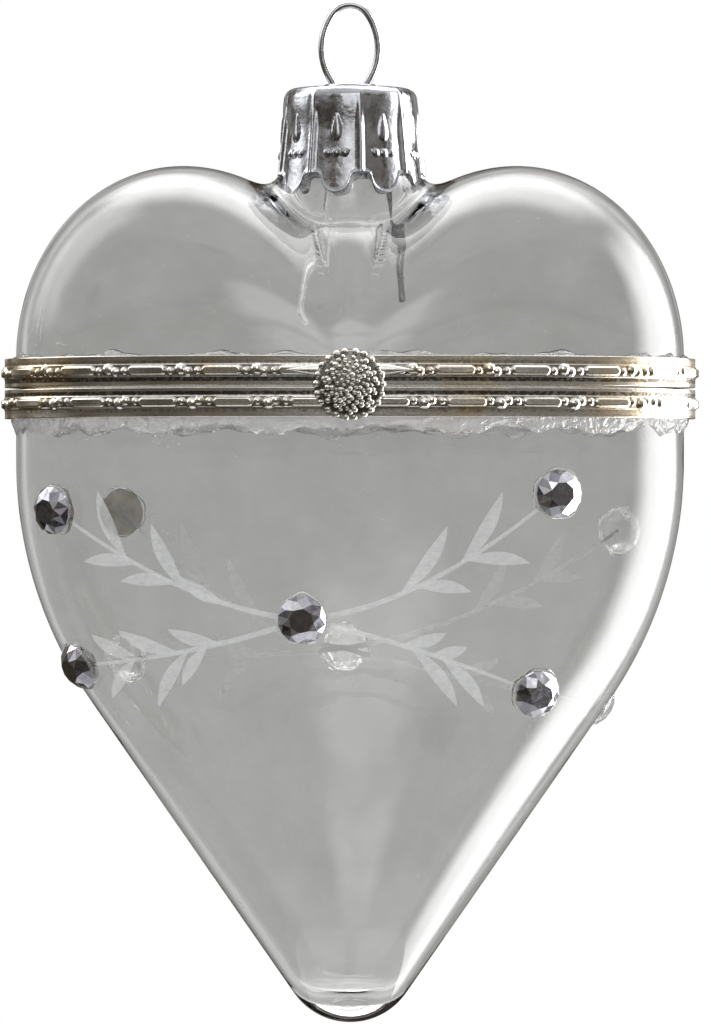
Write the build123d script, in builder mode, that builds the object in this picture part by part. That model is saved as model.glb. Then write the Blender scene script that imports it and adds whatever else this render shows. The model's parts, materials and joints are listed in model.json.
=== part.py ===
from build123d import *
import math
import os

# Heart-shaped trinket box: two blown-glass shells joined at the waist by a pair of
# embossed bezel bands with a hinge behind and a beaded clasp in front, hung from an
# ornament cap with a spring wire, and set with ten flat-backed rhinestones.
# Millimetres, +Z up, X across the heart, front towards -Y.
# The origin is the point inside the top of the wire ring where a hook bears.

# Glass, measured from the parting plane between the two bands
PARTING_Z = -41.9
HALF_WIDTH = 36.7
HALF_DEPTH = 17.6
WALL = 1.0
EDGE_GAP = 0.7  # parting plane to the ground edge of each shell

# Lower shell: upright sides, a round shoulder, straight flanks and a round tip
BASE_DROP = 69.6
UPRIGHT_DROP = 8.0
SHOULDER_RADIUS = 46.0
FLANK_ANGLE = math.radians(34.8)
TIP_THICKNESS = 2.6
BASE_SECTIONS = 14
LAST_SECTION = 0.75  # how far the last section goes of the step to the tip

# Upper shell: two lobes either side of a low saddle, and a neck for the cap
LOBE_X = 18.6
LOBE_Z = 3.4
LOBE_RADIUS_X = 18.1
LOBE_RADIUS_Z = 21.0
SADDLE_HEIGHT = 21.2
SADDLE_BLEND = 7.5  # higher gives a sharper valley between lobe and saddle
LID_RINGS = 9
LID_RING_POINTS = 40
LAST_RING = math.radians(84)
NECK_FOOT_Z = 17.0
NECK_TOP_Z = 31.9
NECK_FOOT_RADIUS = 8.15
NECK_TOP_RADIUS = 6.95
NECK_WALL = 0.75

# Bezel bands: a channel that takes the glass edge, with a raised line along its face
FACE_GAP = 0.1  # parting plane to the mating face of each band
BAND_HEIGHT = 3.2
BAND_OUT = 1.2  # face of the band beyond the glass
BAND_SHEET = 0.4
BAND_SHOULDER = 0.7
INNER_WALL_OUT = -1.25
INNER_WALL_HEIGHT = 1.7
LINE_OUT = 1.7
LINE_LOW = 1.0
LINE_HEIGHT = 1.4
LINE_ROUND = 0.3
LEVEL_MARGIN = 0.01  # how far from a height an edge may be and still count as at it

# Clear cement that holds each shell in its band and squeezes out along it
CEMENT_INNER_OUT = -0.5
CEMENT_HEEL_OUT = 0.7
CEMENT_TOE_OUT = 0.15
BASE_CEMENT_TOE = 5.6
LID_CEMENT_TOE = 4.2

# Hinge: five knuckles on one pin, behind the bands
KNUCKLES = 5
KNUCKLE_WIDTH = 2.6
KNUCKLE_GAP = 0.15
BARREL_RADIUS = 1.2
PIN_RADIUS = 0.5
PIN_CLEARANCE = 0.05
BARREL_CLEARANCE = 0.4
LEAF_OVER_LINE = 0.8
LEAF_HEIGHT = 3.0
LEAF_GAP = 0.15

# Clasp: beaded button on a plate with two spear arms, over a ball on the lower band
BUTTON_RADIUS = 4.0
BUTTON_RISE = 0.1  # button centre above the parting plane
BUTTON_EDGE = 1.0
BUTTON_STEP = 0.35
BUTTON_DOME = 0.9
BUTTON_TAPER = 40
BUTTON_ROUND = 0.6
PLATE_FRONT = -(HALF_DEPTH + LINE_OUT + 0.4)
SPEAR_REACH = 6.9
SPEAR_BARB = 5.0
SPEAR_HALF_HEIGHT = 1.0
SPEAR_WAIST = 3.6
SPEAR_WAIST_HALF_HEIGHT = 0.55
PLATE_RADIUS = 3.0
CATCH_RADIUS = 0.7
CATCH_STAND = 0.55
CATCH_ROUND = 0.4
CATCH_DROP = 1.7
CATCH_RELIEF = 1.2  # half the width of the slot behind the button
CATCH_RELIEF_TOP = 0.6
CATCH_RELIEF_DEPTH = 0.6

# Ornament cap: thin spun skirt with nine tabs and two holes for the wire
CAP_TOP_Z = 33.0
CAP_SKIRT_Z = 21.2
CAP_TOP_RADIUS = 7.4
CAP_SKIRT_RADIUS = 8.6
CAP_SHEET = 0.25
CAP_CLEARANCE = 0.15  # between the skirt's sides and the saddle they stand over
CAP_ROUND = 1.3
CAP_TABS = 9
TAB_NOTCH = 0.8
TAB_TURN = -81.4  # a notch between two tabs, in degrees from +X
WIRE_HOLE_RADIUS = 0.5
CAP_BOSS_RADIUS = 3.0
CAP_BOSS_HEIGHT = 0.5
CAP_BOSS_ROUND = 0.4

# Hanging wire: a ring of three arcs on two spring legs that reach into the glass
WIRE_RADIUS = 0.38
RING_HALF_WIDTH = 3.1
RING_WIDEST = 4.5
RING_FOOT_X = 2.1
RING_FOOT_Z = 1.0
HOLE_X = 1.76
BEND_Z = 0.375  # where the wire bends in its holes, above the cap
LEG_ROUND = 1.0
LEFT_LEG = [(-4.6, -25.9), (-5.4, -24.5), (-2.5, -12.0)]
RIGHT_LEG = [(4.4, -11.5), (5.2, -16.6), (4.9, -19.2), (5.6, -23.4)]

# Rhinestones on glue pads: place across the heart, and drop below the parting plane
STONE_RADIUS = 2.6
STONE_GIRDLE = 0.35
STONE_CROWN = 1.05
STONE_TABLE = 1.35
STONE_SIDES = 12
PAD_RADIUS = 2.95
PAD_THICKNESS = 0.3
PAD_SINK = 0.9
SLOPE_STEP = 0.01  # over which the glass surface's slope is taken
FRONT_STONES = [(-32.0, 13.3), (22.3, 11.5), (-5.1, 25.0), (-29.3, 30.2), (20.0, 33.0)]
BACK_STONES = [(-25.5, 13.5), (30.2, 15.6), (-0.6, 28.8), (-25.2, 29.8), (27.0, 34.6)]

os.makedirs("parts", exist_ok=True)

# Worked out from the above
cap_top = PARTING_Z + CAP_TOP_Z
barrel_y = HALF_DEPTH + LINE_OUT + BARREL_CLEARANCE + BARREL_RADIUS
leaf_back = HALF_DEPTH + LINE_OUT + LEAF_OVER_LINE
knuckle_pitch = KNUCKLE_WIDTH + KNUCKLE_GAP
button_z = PARTING_Z + BUTTON_RISE


def export(builder, name):
    """Labels a finished piece and writes it as its own node."""
    builder.part.label = name
    export_step(builder.part, f"parts/{name}.step")


# ------------------------------------------------------------------ lower glass shell


def base_half_width(drop):
    """Half the width of the lower shell at a drop below the parting plane."""
    flank_start = UPRIGHT_DROP + SHOULDER_RADIUS * math.sin(FLANK_ANGLE)
    flank_width = HALF_WIDTH - SHOULDER_RADIUS * (1 - math.cos(FLANK_ANGLE))
    apex_drop = flank_start + flank_width / math.tan(FLANK_ANGLE)
    tip_radius = (apex_drop - BASE_DROP) / (1 / math.sin(FLANK_ANGLE) - 1)
    tip_centre = BASE_DROP - tip_radius
    if drop <= UPRIGHT_DROP:
        return HALF_WIDTH
    if drop <= flank_start:
        fall = drop - UPRIGHT_DROP
        return HALF_WIDTH - SHOULDER_RADIUS + math.sqrt(SHOULDER_RADIUS**2 - fall**2)
    if drop <= tip_centre + tip_radius * math.sin(FLANK_ANGLE):
        return flank_width - (drop - flank_start) * math.tan(FLANK_ANGLE)
    return math.sqrt(tip_radius**2 - (drop - tip_centre) ** 2)


def base_half_depth(drop):
    """Half the depth of the lower shell, a long ellipse from waist to tip."""
    return HALF_DEPTH * math.sqrt(1 - (drop / BASE_DROP) ** 2)


def section_drops(total):
    """Drops of the loft's sections, closing up towards the tip."""
    steps = [*range(BASE_SECTIONS), BASE_SECTIONS - 1 + LAST_SECTION]
    return [total * math.sin(math.pi / 2 * step / BASE_SECTIONS) for step in steps]


with BuildPart() as base_outer:
    for drop in section_drops(BASE_DROP):
        with BuildSketch(Plane.XY.offset(PARTING_Z - drop)):
            Ellipse(base_half_width(drop), base_half_depth(drop))
    loft()

with BuildPart() as base_inner:
    for drop in section_drops(BASE_DROP - TIP_THICKNESS):
        outer_drop = drop * BASE_DROP / (BASE_DROP - TIP_THICKNESS)
        taper = math.sqrt(1 - (drop / (BASE_DROP - TIP_THICKNESS)) ** 2)
        width = min(base_half_width(drop) - WALL, base_half_width(outer_drop))
        depth = (HALF_DEPTH - WALL) * taper
        with BuildSketch(Plane.XY.offset(PARTING_Z - drop)):
            Ellipse(width, depth)
    loft()

with BuildPart() as base_glass:
    add(base_outer.part)
    add(base_inner.part, mode=Mode.SUBTRACT)
    split(bisect_by=Plane.XY.offset(PARTING_Z - EDGE_GAP), keep=Keep.BOTTOM)
export(base_glass, "base_glass")


# ------------------------------------------------------------------ upper glass shell


def lobe_reach(angle, inset):
    """Distance from the centre of the parting plane to a lobe, or 0 where it misses."""
    across = math.cos(angle)
    up = math.sin(angle)
    radius_x = LOBE_RADIUS_X - inset
    radius_z = LOBE_RADIUS_Z - inset
    upright = (LOBE_X + radius_x) / across
    if upright * up < LOBE_Z:
        return upright
    square = (across / radius_x) ** 2 + (up / radius_z) ** 2
    linear = across * LOBE_X / radius_x**2 + up * LOBE_Z / radius_z**2
    constant = (LOBE_X / radius_x) ** 2 + (LOBE_Z / radius_z) ** 2 - 1
    root = linear**2 - square * constant
    return (linear + math.sqrt(root)) / square if root > 0 else 0.0


def heart_reach(angle, inset):
    """Outline of the upper heart in front view, lobes and saddle blended."""
    lobe = lobe_reach(angle, inset)
    saddle = SADDLE_HEIGHT - inset
    blended = (lobe**SADDLE_BLEND + saddle**SADDLE_BLEND) ** (1 / SADDLE_BLEND)
    share = math.sin(angle) ** 2
    return lobe + (blended - lobe) * share


def lid_point(turn, elevation, inset):
    """Point of the upper shell, inflated from the heart outline to the half depth."""
    azimuth = math.atan2(HALF_DEPTH * math.sin(turn), HALF_WIDTH * math.cos(turn))
    x = math.cos(elevation) * math.cos(azimuth)
    y = math.cos(elevation) * math.sin(azimuth)
    z = math.sin(elevation)
    outline = heart_reach(math.atan2(z, abs(x)), inset)
    reach = 1 / math.sqrt((x**2 + z**2) / outline**2 + (y / (HALF_DEPTH - inset)) ** 2)
    return (x * reach, y * reach, PARTING_Z + z * reach)


def lid_dome(inset):
    """Solid inside the upper shell's surface, moved in by inset."""
    shares = [step / LID_RING_POINTS for step in range(LID_RING_POINTS + 1)]
    rings = []
    for ring in range(LID_RINGS + 1):
        elevation = LAST_RING * ring / LID_RINGS
        points = [lid_point(math.tau * share, elevation, inset) for share in shares[:-1]]
        rings.append(Wire([Edge.make_spline(points, periodic=True, parameters=shares)]))
    top = Vertex(0, 0, PARTING_Z + SADDLE_HEIGHT - inset)
    return Solid.make_loft([*rings, top])


def neck_plug(foot_radius, top_radius):
    """Tapering plug from inside the dome up to the neck's top."""
    with BuildPart() as plug:
        with BuildSketch(Plane.XY.offset(PARTING_Z + NECK_FOOT_Z)):
            Circle(foot_radius)
        with BuildSketch(Plane.XY.offset(PARTING_Z + NECK_TOP_Z)):
            Circle(top_radius)
        loft()
    return plug.part


lid_outer = lid_dome(0)
lid_inner = lid_dome(WALL)
neck_outer = neck_plug(NECK_FOOT_RADIUS, NECK_TOP_RADIUS)
neck_bore = neck_plug(NECK_FOOT_RADIUS - NECK_WALL, NECK_TOP_RADIUS - NECK_WALL)

with BuildPart() as lid_glass:
    add(lid_outer)
    add(neck_outer)
    add(lid_inner, mode=Mode.SUBTRACT)
    add(neck_bore, mode=Mode.SUBTRACT)
    split(bisect_by=Plane.XY.offset(PARTING_Z + EDGE_GAP), keep=Keep.TOP)
export(lid_glass, "lid_glass")


# ------------------------------------------------------------------ bezel bands


def rim(out, mode=Mode.ADD):
    """The waist's ellipse, grown by out from the glass."""
    return Ellipse(HALF_WIDTH + out, HALF_DEPTH + out, mode=mode)


def oval_edge(builder, z):
    """The longest elliptical edge of a part at one height."""
    ovals = builder.edges().filter_by(GeomType.ELLIPSE)
    level = ovals.filter_by_position(Axis.Z, z - LEVEL_MARGIN, z + LEVEL_MARGIN)
    return level.sort_by(SortBy.LENGTH)[-1]


def below(part):
    """The same part on the other side of the parting plane."""
    return mirror(part, about=Plane.XY.offset(PARTING_Z), mode=Mode.PRIVATE)


band_foot = PARTING_Z + FACE_GAP
band_top = band_foot + BAND_HEIGHT
line_foot = PARTING_Z + LINE_LOW
line_top = line_foot + LINE_HEIGHT

with BuildPart() as raised_line:
    with BuildSketch(Plane.XY.offset(line_foot)):
        rim(LINE_OUT)
        rim(BAND_OUT - BAND_SHEET / 2, mode=Mode.SUBTRACT)
    extrude(amount=LINE_HEIGHT)
    line_edges = [oval_edge(raised_line, line_foot), oval_edge(raised_line, line_top)]
    fillet(line_edges, LINE_ROUND)

with BuildPart() as lid_bezel:
    with BuildSketch(Plane.XY.offset(band_foot)):
        rim(BAND_OUT)
    extrude(amount=BAND_HEIGHT)
    fillet(oval_edge(lid_bezel, band_top), BAND_SHOULDER)
    with BuildSketch(Plane.XY.offset(band_foot + BAND_SHEET)):
        rim(BAND_OUT - BAND_SHEET)
    extrude(amount=BAND_HEIGHT, mode=Mode.SUBTRACT)
    with BuildSketch(Plane.XY.offset(band_foot)):
        rim(INNER_WALL_OUT)
    extrude(amount=BAND_SHEET, mode=Mode.SUBTRACT)
    with BuildSketch(Plane.XY.offset(band_foot)):
        rim(INNER_WALL_OUT)
        rim(INNER_WALL_OUT - BAND_SHEET, mode=Mode.SUBTRACT)
    extrude(amount=INNER_WALL_HEIGHT)
    add(raised_line.part)
export(lid_bezel, "lid_bezel")

with BuildPart() as base_bezel:
    add(below(lid_bezel.part))
export(base_bezel, "base_bezel")


# ------------------------------------------------------------------ cement


def cement_ring(toe):
    """Cement in the channel and tapering along the glass to toe above the plane."""
    heel_z = PARTING_Z + BAND_HEIGHT - BAND_SHOULDER
    with BuildPart() as ring:
        with BuildSketch(Plane.XY.offset(band_foot + BAND_SHEET)):
            rim(BAND_OUT - BAND_SHEET)
        extrude(amount=heel_z - band_foot - BAND_SHEET)
        with BuildSketch(Plane.XY.offset(heel_z)):
            rim(CEMENT_HEEL_OUT)
        with BuildSketch(Plane.XY.offset(PARTING_Z + toe)):
            rim(CEMENT_TOE_OUT)
        loft(ruled=True)
        with BuildSketch(Plane.XY.offset(band_foot)):
            rim(CEMENT_INNER_OUT)
        extrude(amount=toe, mode=Mode.SUBTRACT)
    return ring.part


lid_cement_ring = cement_ring(LID_CEMENT_TOE)
base_cement_ring = below(cement_ring(BASE_CEMENT_TOE))

with BuildPart() as lid_cement:
    add(lid_cement_ring)
    add(lid_glass.part, mode=Mode.SUBTRACT)
export(lid_cement, "lid_cement")

with BuildPart() as base_cement:
    add(base_cement_ring)
    add(base_glass.part, mode=Mode.SUBTRACT)
export(base_cement, "base_cement")


# ------------------------------------------------------------------ hinge


def hinge_knuckles(numbers, direction, bore_radius):
    """Knuckles on one pin line, each with a leaf along the band it is soldered to."""
    leaf_z = PARTING_Z + direction * (LEAF_GAP + LEAF_HEIGHT) / 2
    leaf_depth = leaf_back - HALF_DEPTH
    with BuildPart() as knuckles:
        for number in numbers:
            x = (number - (KNUCKLES - 1) / 2) * knuckle_pitch
            with Locations((x, (leaf_back + HALF_DEPTH) / 2, leaf_z)):
                Box(KNUCKLE_WIDTH, leaf_depth, LEAF_HEIGHT - LEAF_GAP)
            with BuildSketch(Plane.YZ.offset(x - KNUCKLE_WIDTH / 2)):
                with Locations((barrel_y, PARTING_Z)):
                    Circle(BARREL_RADIUS)
            extrude(amount=KNUCKLE_WIDTH)
            with BuildSketch(Plane.YZ.offset(x - KNUCKLE_WIDTH / 2)):
                with Locations((barrel_y, PARTING_Z)):
                    Circle(bore_radius)
            extrude(amount=KNUCKLE_WIDTH, mode=Mode.SUBTRACT)
    return knuckles.part


lid_knuckles = hinge_knuckles(range(1, KNUCKLES, 2), 1, PIN_RADIUS + PIN_CLEARANCE)
base_knuckles = hinge_knuckles(range(0, KNUCKLES, 2), -1, PIN_RADIUS)

with BuildPart() as band_outer:
    with BuildSketch(Plane.XY.offset(band_foot)):
        rim(BAND_OUT)
    extrude(amount=BAND_HEIGHT)
    add(raised_line.part)

with BuildPart() as hinge_lid_knuckles:
    add(lid_knuckles)
    add(band_outer.part, mode=Mode.SUBTRACT)
export(hinge_lid_knuckles, "hinge_lid_knuckles")

with BuildPart() as hinge_base_knuckles:
    add(base_knuckles)
    add(below(band_outer.part), mode=Mode.SUBTRACT)
export(hinge_base_knuckles, "hinge_base_knuckles")

with BuildPart() as hinge_pin:
    pin_half_length = ((KNUCKLES - 1) * knuckle_pitch + KNUCKLE_WIDTH) / 2
    with BuildSketch(Plane.YZ.offset(-pin_half_length)):
        with Locations((barrel_y, PARTING_Z)):
            Circle(PIN_RADIUS)
    extrude(amount=2 * pin_half_length)
export(hinge_pin, "hinge_pin")


# ------------------------------------------------------------------ clasp

with BuildPart() as clasp_plate:
    with BuildSketch(Plane.XZ.offset(-PLATE_FRONT)):
        with BuildLine():
            line_z = line_foot + LINE_HEIGHT / 2
            Polyline(
                (0, line_z + SPEAR_WAIST_HALF_HEIGHT),
                (SPEAR_WAIST, line_z + SPEAR_WAIST_HALF_HEIGHT),
                (SPEAR_BARB, line_z + SPEAR_HALF_HEIGHT),
                (SPEAR_REACH, line_z),
                (SPEAR_BARB, line_z - SPEAR_HALF_HEIGHT),
                (SPEAR_WAIST, line_z - SPEAR_WAIST_HALF_HEIGHT),
                (0, line_z - SPEAR_WAIST_HALF_HEIGHT),
                close=True,
            )
        make_face()
        mirror(about=Plane.YZ)
        with Locations((0, button_z)):
            Circle(PLATE_RADIUS)
    extrude(amount=PLATE_FRONT + HALF_DEPTH)
    split(bisect_by=Plane.XY.offset(band_foot + FACE_GAP), keep=Keep.TOP)
    split(bisect_by=Plane.XY.offset(band_top - BAND_SHOULDER), keep=Keep.BOTTOM)
    add(band_outer.part, mode=Mode.SUBTRACT)
export(clasp_plate, "clasp_plate")

with BuildPart() as clasp_button:
    with BuildSketch(Plane.XZ.offset(-PLATE_FRONT)):
        with Locations((0, button_z)):
            Circle(BUTTON_RADIUS)
    extrude(amount=BUTTON_EDGE)
    with BuildSketch(Plane.XZ.offset(-PLATE_FRONT + BUTTON_EDGE)):
        with Locations((0, button_z)):
            Circle(BUTTON_RADIUS - BUTTON_STEP)
    extrude(amount=BUTTON_DOME, taper=BUTTON_TAPER)
    fillet(clasp_button.faces().sort_by(Axis.Y)[0].edges(), BUTTON_ROUND)
    relief_foot = button_z - BUTTON_RADIUS
    relief_head = PARTING_Z - CATCH_RELIEF_TOP
    with Locations((0, PLATE_FRONT - CATCH_RELIEF_DEPTH / 2, (relief_foot + relief_head) / 2)):
        Box(2 * CATCH_RELIEF, CATCH_RELIEF_DEPTH, relief_head - relief_foot, mode=Mode.SUBTRACT)
export(clasp_button, "clasp_button")

with BuildPart() as clasp_catch:
    with BuildSketch(Plane.XZ.offset(HALF_DEPTH + LINE_OUT)):
        with Locations((0, PARTING_Z - CATCH_DROP)):
            Circle(CATCH_RADIUS)
    extrude(amount=CATCH_STAND)
    fillet(clasp_catch.faces().sort_by(Axis.Y)[0].edges(), CATCH_ROUND)
export(clasp_catch, "clasp_catch")


# ------------------------------------------------------------------ ornament cap


def cap_form(inset):
    """Solid of the cap's skirt, shoulder and boss, moved in by inset."""
    with BuildPart() as form:
        with BuildSketch(Plane.XY.offset(PARTING_Z + CAP_SKIRT_Z)):
            Circle(CAP_SKIRT_RADIUS - inset)
        with BuildSketch(Plane.XY.offset(cap_top - inset)):
            Circle(CAP_TOP_RADIUS - inset)
        loft()
        fillet(form.faces().sort_by(Axis.Z)[-1].edges(), CAP_ROUND - inset)
        with BuildSketch(Plane.XY.offset(cap_top - inset)):
            Circle(CAP_BOSS_RADIUS - inset)
        extrude(amount=CAP_BOSS_HEIGHT)
        fillet(form.faces().sort_by(Axis.Z)[-1].edges(), CAP_BOSS_ROUND)
    return form.part


cap_outside = cap_form(0)
cap_inside = cap_form(CAP_SHEET)

with BuildPart() as ornament_cap:
    add(cap_outside)
    add(cap_inside, mode=Mode.SUBTRACT)
    add(lid_dome(-CAP_CLEARANCE), mode=Mode.SUBTRACT)
    with BuildSketch(Plane.XY.offset(cap_top)):
        with Locations((-HOLE_X, 0), (HOLE_X, 0)):
            Circle(WIRE_HOLE_RADIUS)
    extrude(amount=2 * CAP_BOSS_HEIGHT, mode=Mode.SUBTRACT)
    with Locations(Plane.XY.offset(PARTING_Z + CAP_SKIRT_Z)):
        with PolarLocations(CAP_SKIRT_RADIUS, CAP_TABS, start_angle=TAB_TURN):
            Cylinder(TAB_NOTCH, 2 * TAB_NOTCH, rotation=(0, 90, 0), mode=Mode.SUBTRACT)
export(ornament_cap, "ornament_cap")


# ------------------------------------------------------------------ hanging wire

ring_top = WIRE_RADIUS - cap_top
flare = RING_HALF_WIDTH - RING_FOOT_X
climb = RING_WIDEST - RING_FOOT_Z
side_radius = (flare**2 + climb**2) / (2 * flare)
side_centre = side_radius - RING_HALF_WIDTH
crown = ring_top - RING_WIDEST
crown_radius = (side_radius**2 - side_centre**2 - crown**2) / (2 * (side_radius - crown))
crown_rise = crown - crown_radius
reach = side_radius / (side_radius - crown_radius)
shoulder = (side_centre * (1 - reach), RING_WIDEST + crown_rise * reach)
foot_slope = (side_radius - flare) / climb
bend_x = RING_FOOT_X - (RING_FOOT_Z - BEND_Z) / foot_slope

with BuildPart() as hanger_wire:
    with BuildLine(Plane((0, 0, cap_top), x_dir=(1, 0, 0), z_dir=(0, -1, 0))) as wire_path:
        FilletPolyline(
            *LEFT_LEG, (-bend_x, BEND_Z), (-RING_FOOT_X, RING_FOOT_Z), radius=LEG_ROUND
        )
        ThreePointArc((-RING_FOOT_X, RING_FOOT_Z), (-RING_HALF_WIDTH, RING_WIDEST), shoulder)
        ThreePointArc(shoulder, (0, ring_top), (-shoulder[0], shoulder[1]))
        ThreePointArc(
            (-shoulder[0], shoulder[1]), (RING_HALF_WIDTH, RING_WIDEST), (RING_FOOT_X, RING_FOOT_Z)
        )
        FilletPolyline(
            (RING_FOOT_X, RING_FOOT_Z), (bend_x, BEND_Z), *RIGHT_LEG, radius=LEG_ROUND
        )
    with BuildSketch(Plane(wire_path.line @ 0, z_dir=wire_path.line % 0)):
        Circle(WIRE_RADIUS)
    sweep()
export(hanger_wire, "hanger_wire")


# ------------------------------------------------------------------ rhinestones


def surface_plane(x, drop, side):
    """Plane on the lower glass at a place across and below, facing outwards."""
    width = base_half_width(drop)
    depth = base_half_depth(drop)
    width_slope = (base_half_width(drop + SLOPE_STEP) - width) / SLOPE_STEP
    depth_slope = (base_half_depth(drop + SLOPE_STEP) - depth) / SLOPE_STEP
    y = side * depth * math.sqrt(1 - (x / width) ** 2)
    rise = x**2 * width_slope / width**3 + y**2 * depth_slope / depth**3
    return Plane((x, y, PARTING_Z - drop), z_dir=(x / width**2, y / depth**2, rise))


def set_stone(name, seat):
    """A faceted stone on its glue pad, both in nodes of their own."""
    with BuildPart() as pad:
        with BuildSketch(seat.offset(-PAD_SINK)):
            Circle(PAD_RADIUS)
        extrude(amount=PAD_SINK + PAD_THICKNESS)
        add(base_outer.part, mode=Mode.SUBTRACT)
    export(pad, f"{name}_glue")
    with BuildPart() as stone:
        with BuildSketch(seat.offset(PAD_THICKNESS)):
            RegularPolygon(STONE_RADIUS, STONE_SIDES)
        extrude(amount=STONE_GIRDLE)
        with BuildSketch(seat.offset(PAD_THICKNESS + STONE_GIRDLE)):
            RegularPolygon(STONE_RADIUS, STONE_SIDES)
        with BuildSketch(seat.offset(PAD_THICKNESS + STONE_GIRDLE + STONE_CROWN)):
            RegularPolygon(STONE_TABLE, STONE_SIDES)
        loft()
    export(stone, name)


for side, side_name, places in ((-1, "front", FRONT_STONES), (1, "back", BACK_STONES)):
    for number, (x, drop) in enumerate(places, start=1):
        set_stone(f"{side_name}_stone_{number}", surface_plane(x, drop, side))
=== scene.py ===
import json
import math
import random

import bpy
import bmesh
import numpy as np
from mathutils import Matrix, Vector

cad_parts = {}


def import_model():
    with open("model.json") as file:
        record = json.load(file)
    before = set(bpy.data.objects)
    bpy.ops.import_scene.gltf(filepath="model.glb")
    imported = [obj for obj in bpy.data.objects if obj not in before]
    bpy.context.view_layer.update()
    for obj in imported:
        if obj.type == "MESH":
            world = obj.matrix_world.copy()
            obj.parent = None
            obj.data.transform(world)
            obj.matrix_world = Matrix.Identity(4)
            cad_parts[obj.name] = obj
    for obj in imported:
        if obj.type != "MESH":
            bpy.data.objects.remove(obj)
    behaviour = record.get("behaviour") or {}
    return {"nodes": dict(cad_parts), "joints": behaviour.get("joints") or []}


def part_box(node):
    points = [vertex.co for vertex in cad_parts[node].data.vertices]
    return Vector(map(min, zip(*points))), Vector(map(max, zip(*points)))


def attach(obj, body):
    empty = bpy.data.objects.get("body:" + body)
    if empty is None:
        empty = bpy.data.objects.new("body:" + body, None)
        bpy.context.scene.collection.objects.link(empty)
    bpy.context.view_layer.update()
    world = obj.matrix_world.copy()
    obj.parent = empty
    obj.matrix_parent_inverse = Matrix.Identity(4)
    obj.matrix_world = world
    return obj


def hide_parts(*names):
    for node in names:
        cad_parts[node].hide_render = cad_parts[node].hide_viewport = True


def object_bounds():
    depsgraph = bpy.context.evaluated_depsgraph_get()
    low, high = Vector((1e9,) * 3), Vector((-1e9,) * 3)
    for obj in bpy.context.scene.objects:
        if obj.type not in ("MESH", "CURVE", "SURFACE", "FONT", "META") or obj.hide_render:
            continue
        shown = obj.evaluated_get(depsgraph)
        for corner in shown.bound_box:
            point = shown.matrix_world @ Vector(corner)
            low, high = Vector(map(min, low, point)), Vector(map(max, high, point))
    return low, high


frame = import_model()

# Heart-shaped trinket box. Shapes are worked out in millimetres and turned into metres
# when a mesh is made. +Z is up, X across the heart, the front towards -Y.

MM = 0.001
cad_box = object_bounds()


def box_mm(node):
    """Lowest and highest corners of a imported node, in millimetres."""
    low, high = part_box(node)
    return np.array(low) / MM, np.array(high) / MM


joints = {joint["name"]: joint for joint in frame["joints"]}
hinge_point = np.array(joints["lid_hinge"]["pos_m"]) / MM
band_low, band_high = box_mm("lid_bezel")
cap_low, cap_high = box_mm("ornament_cap")
button_low, button_high = box_mm("clasp_button")
catch_low, catch_high = box_mm("clasp_catch")
tip_z = box_mm("base_glass")[0][2]
neck_top = box_mm("lid_glass")[1][2]
spear_reach = box_mm("clasp_plate")[1][0]

# Glass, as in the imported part
LINE_OUT = 1.7
PARTING_Z = hinge_point[2]
HALF_WIDTH = (band_high[0] - band_low[0]) / 2 - LINE_OUT
HALF_DEPTH = 17.6
WALL = 1.0
EDGE_GAP = 0.7
EDGE_ROUND = 0.3
EDGE_CHAMFER = 0.1
BASE_DROP = PARTING_Z - tip_z
UPRIGHT_DROP = 8.0
SHOULDER_RADIUS = 46.0
FLANK_ANGLE = math.radians(34.8)
TIP_THICKNESS = 2.6
NUB_HEIGHT = 1.2  # how far the thick drop of glass stands up inside the tip
NUB_RADIUS = 2.4
LOBE_X = 18.6
LOBE_Z = 3.4
LOBE_RADIUS_X = 18.1
LOBE_RADIUS_Z = 21.0
SADDLE_HEIGHT = 21.2
SADDLE_BLEND = 7.5
NECK_FOOT_Z = 17.0
NECK_TOP_Z = neck_top - PARTING_Z
NECK_FOOT_RADIUS = 8.15
NECK_TOP_RADIUS = 6.95
NECK_WALL = 0.75
NECK_RINGS = 25
NECK_RIM = 0.2  # height of the neck's rounded rim
RIM_ROUND = [(0.08, 0.08), (0.22, 0), (NECK_WALL - 0.22, 0), (NECK_WALL - 0.08, 0.08)]  # inwards, downwards
WAVINESS = 0.07  # uneven thickness of the blown glass
WAVES_FADE = 6.0  # waves fade where the lower hollow's half depth is less than this
GLASS_TURNS = 216
BASE_RINGS = 96
DOME_RINGS = 84
CREASE_REACH = 5  # rings over which the neck's foot is evened out
CREASE_PASSES = 40

# Bands
FACE_GAP = 0.1
BAND_HEIGHT = 3.2
BAND_OUT = 1.2
FACE_OUT = BAND_OUT + 0.05  # furthest that the rounded face stands out
BAND_SHEET = 0.4
INNER_WALL_OUT = -1.25
INNER_WALL_HEIGHT = 1.7
BAND_STATIONS = 1536
FACE_POINTS = 40
MOTIFS = 22  # bars and knots round the whole band
BAR_HALF = 2.2
BAR_RADIUS = 0.52
SMALL_BEAD = 0.42
LARGE_BEAD = 0.62
MOTIF_PITCH = 8.37
BAR_GAP = MOTIF_PITCH / 2 - BAR_HALF
KNOT_BEADS = [  # place along the knot, lift, radius, height of relief
    (0.45 - BAR_GAP, -0.08, SMALL_BEAD, 0.72),
    (-0.38, 0.12, LARGE_BEAD, 1.0),
    (0.42, -0.14, LARGE_BEAD * 0.8, 0.9),
    (BAR_GAP - 0.45, -0.08, SMALL_BEAD, 0.72),
]
LINE_MIDDLE = 1.7  # the raised line's height above the parting plane
LINE_HALF = 0.7
LIP_HEIGHT = 0.35
FACE_HALF = 1.62
FACE_EDGE_OUT = 0.45
LEDGE_RISE = 0.1
EDGING_RISE = 0.07
LIP_RISE = 0.3
GROOVE_DEPTH = 0.12

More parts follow.
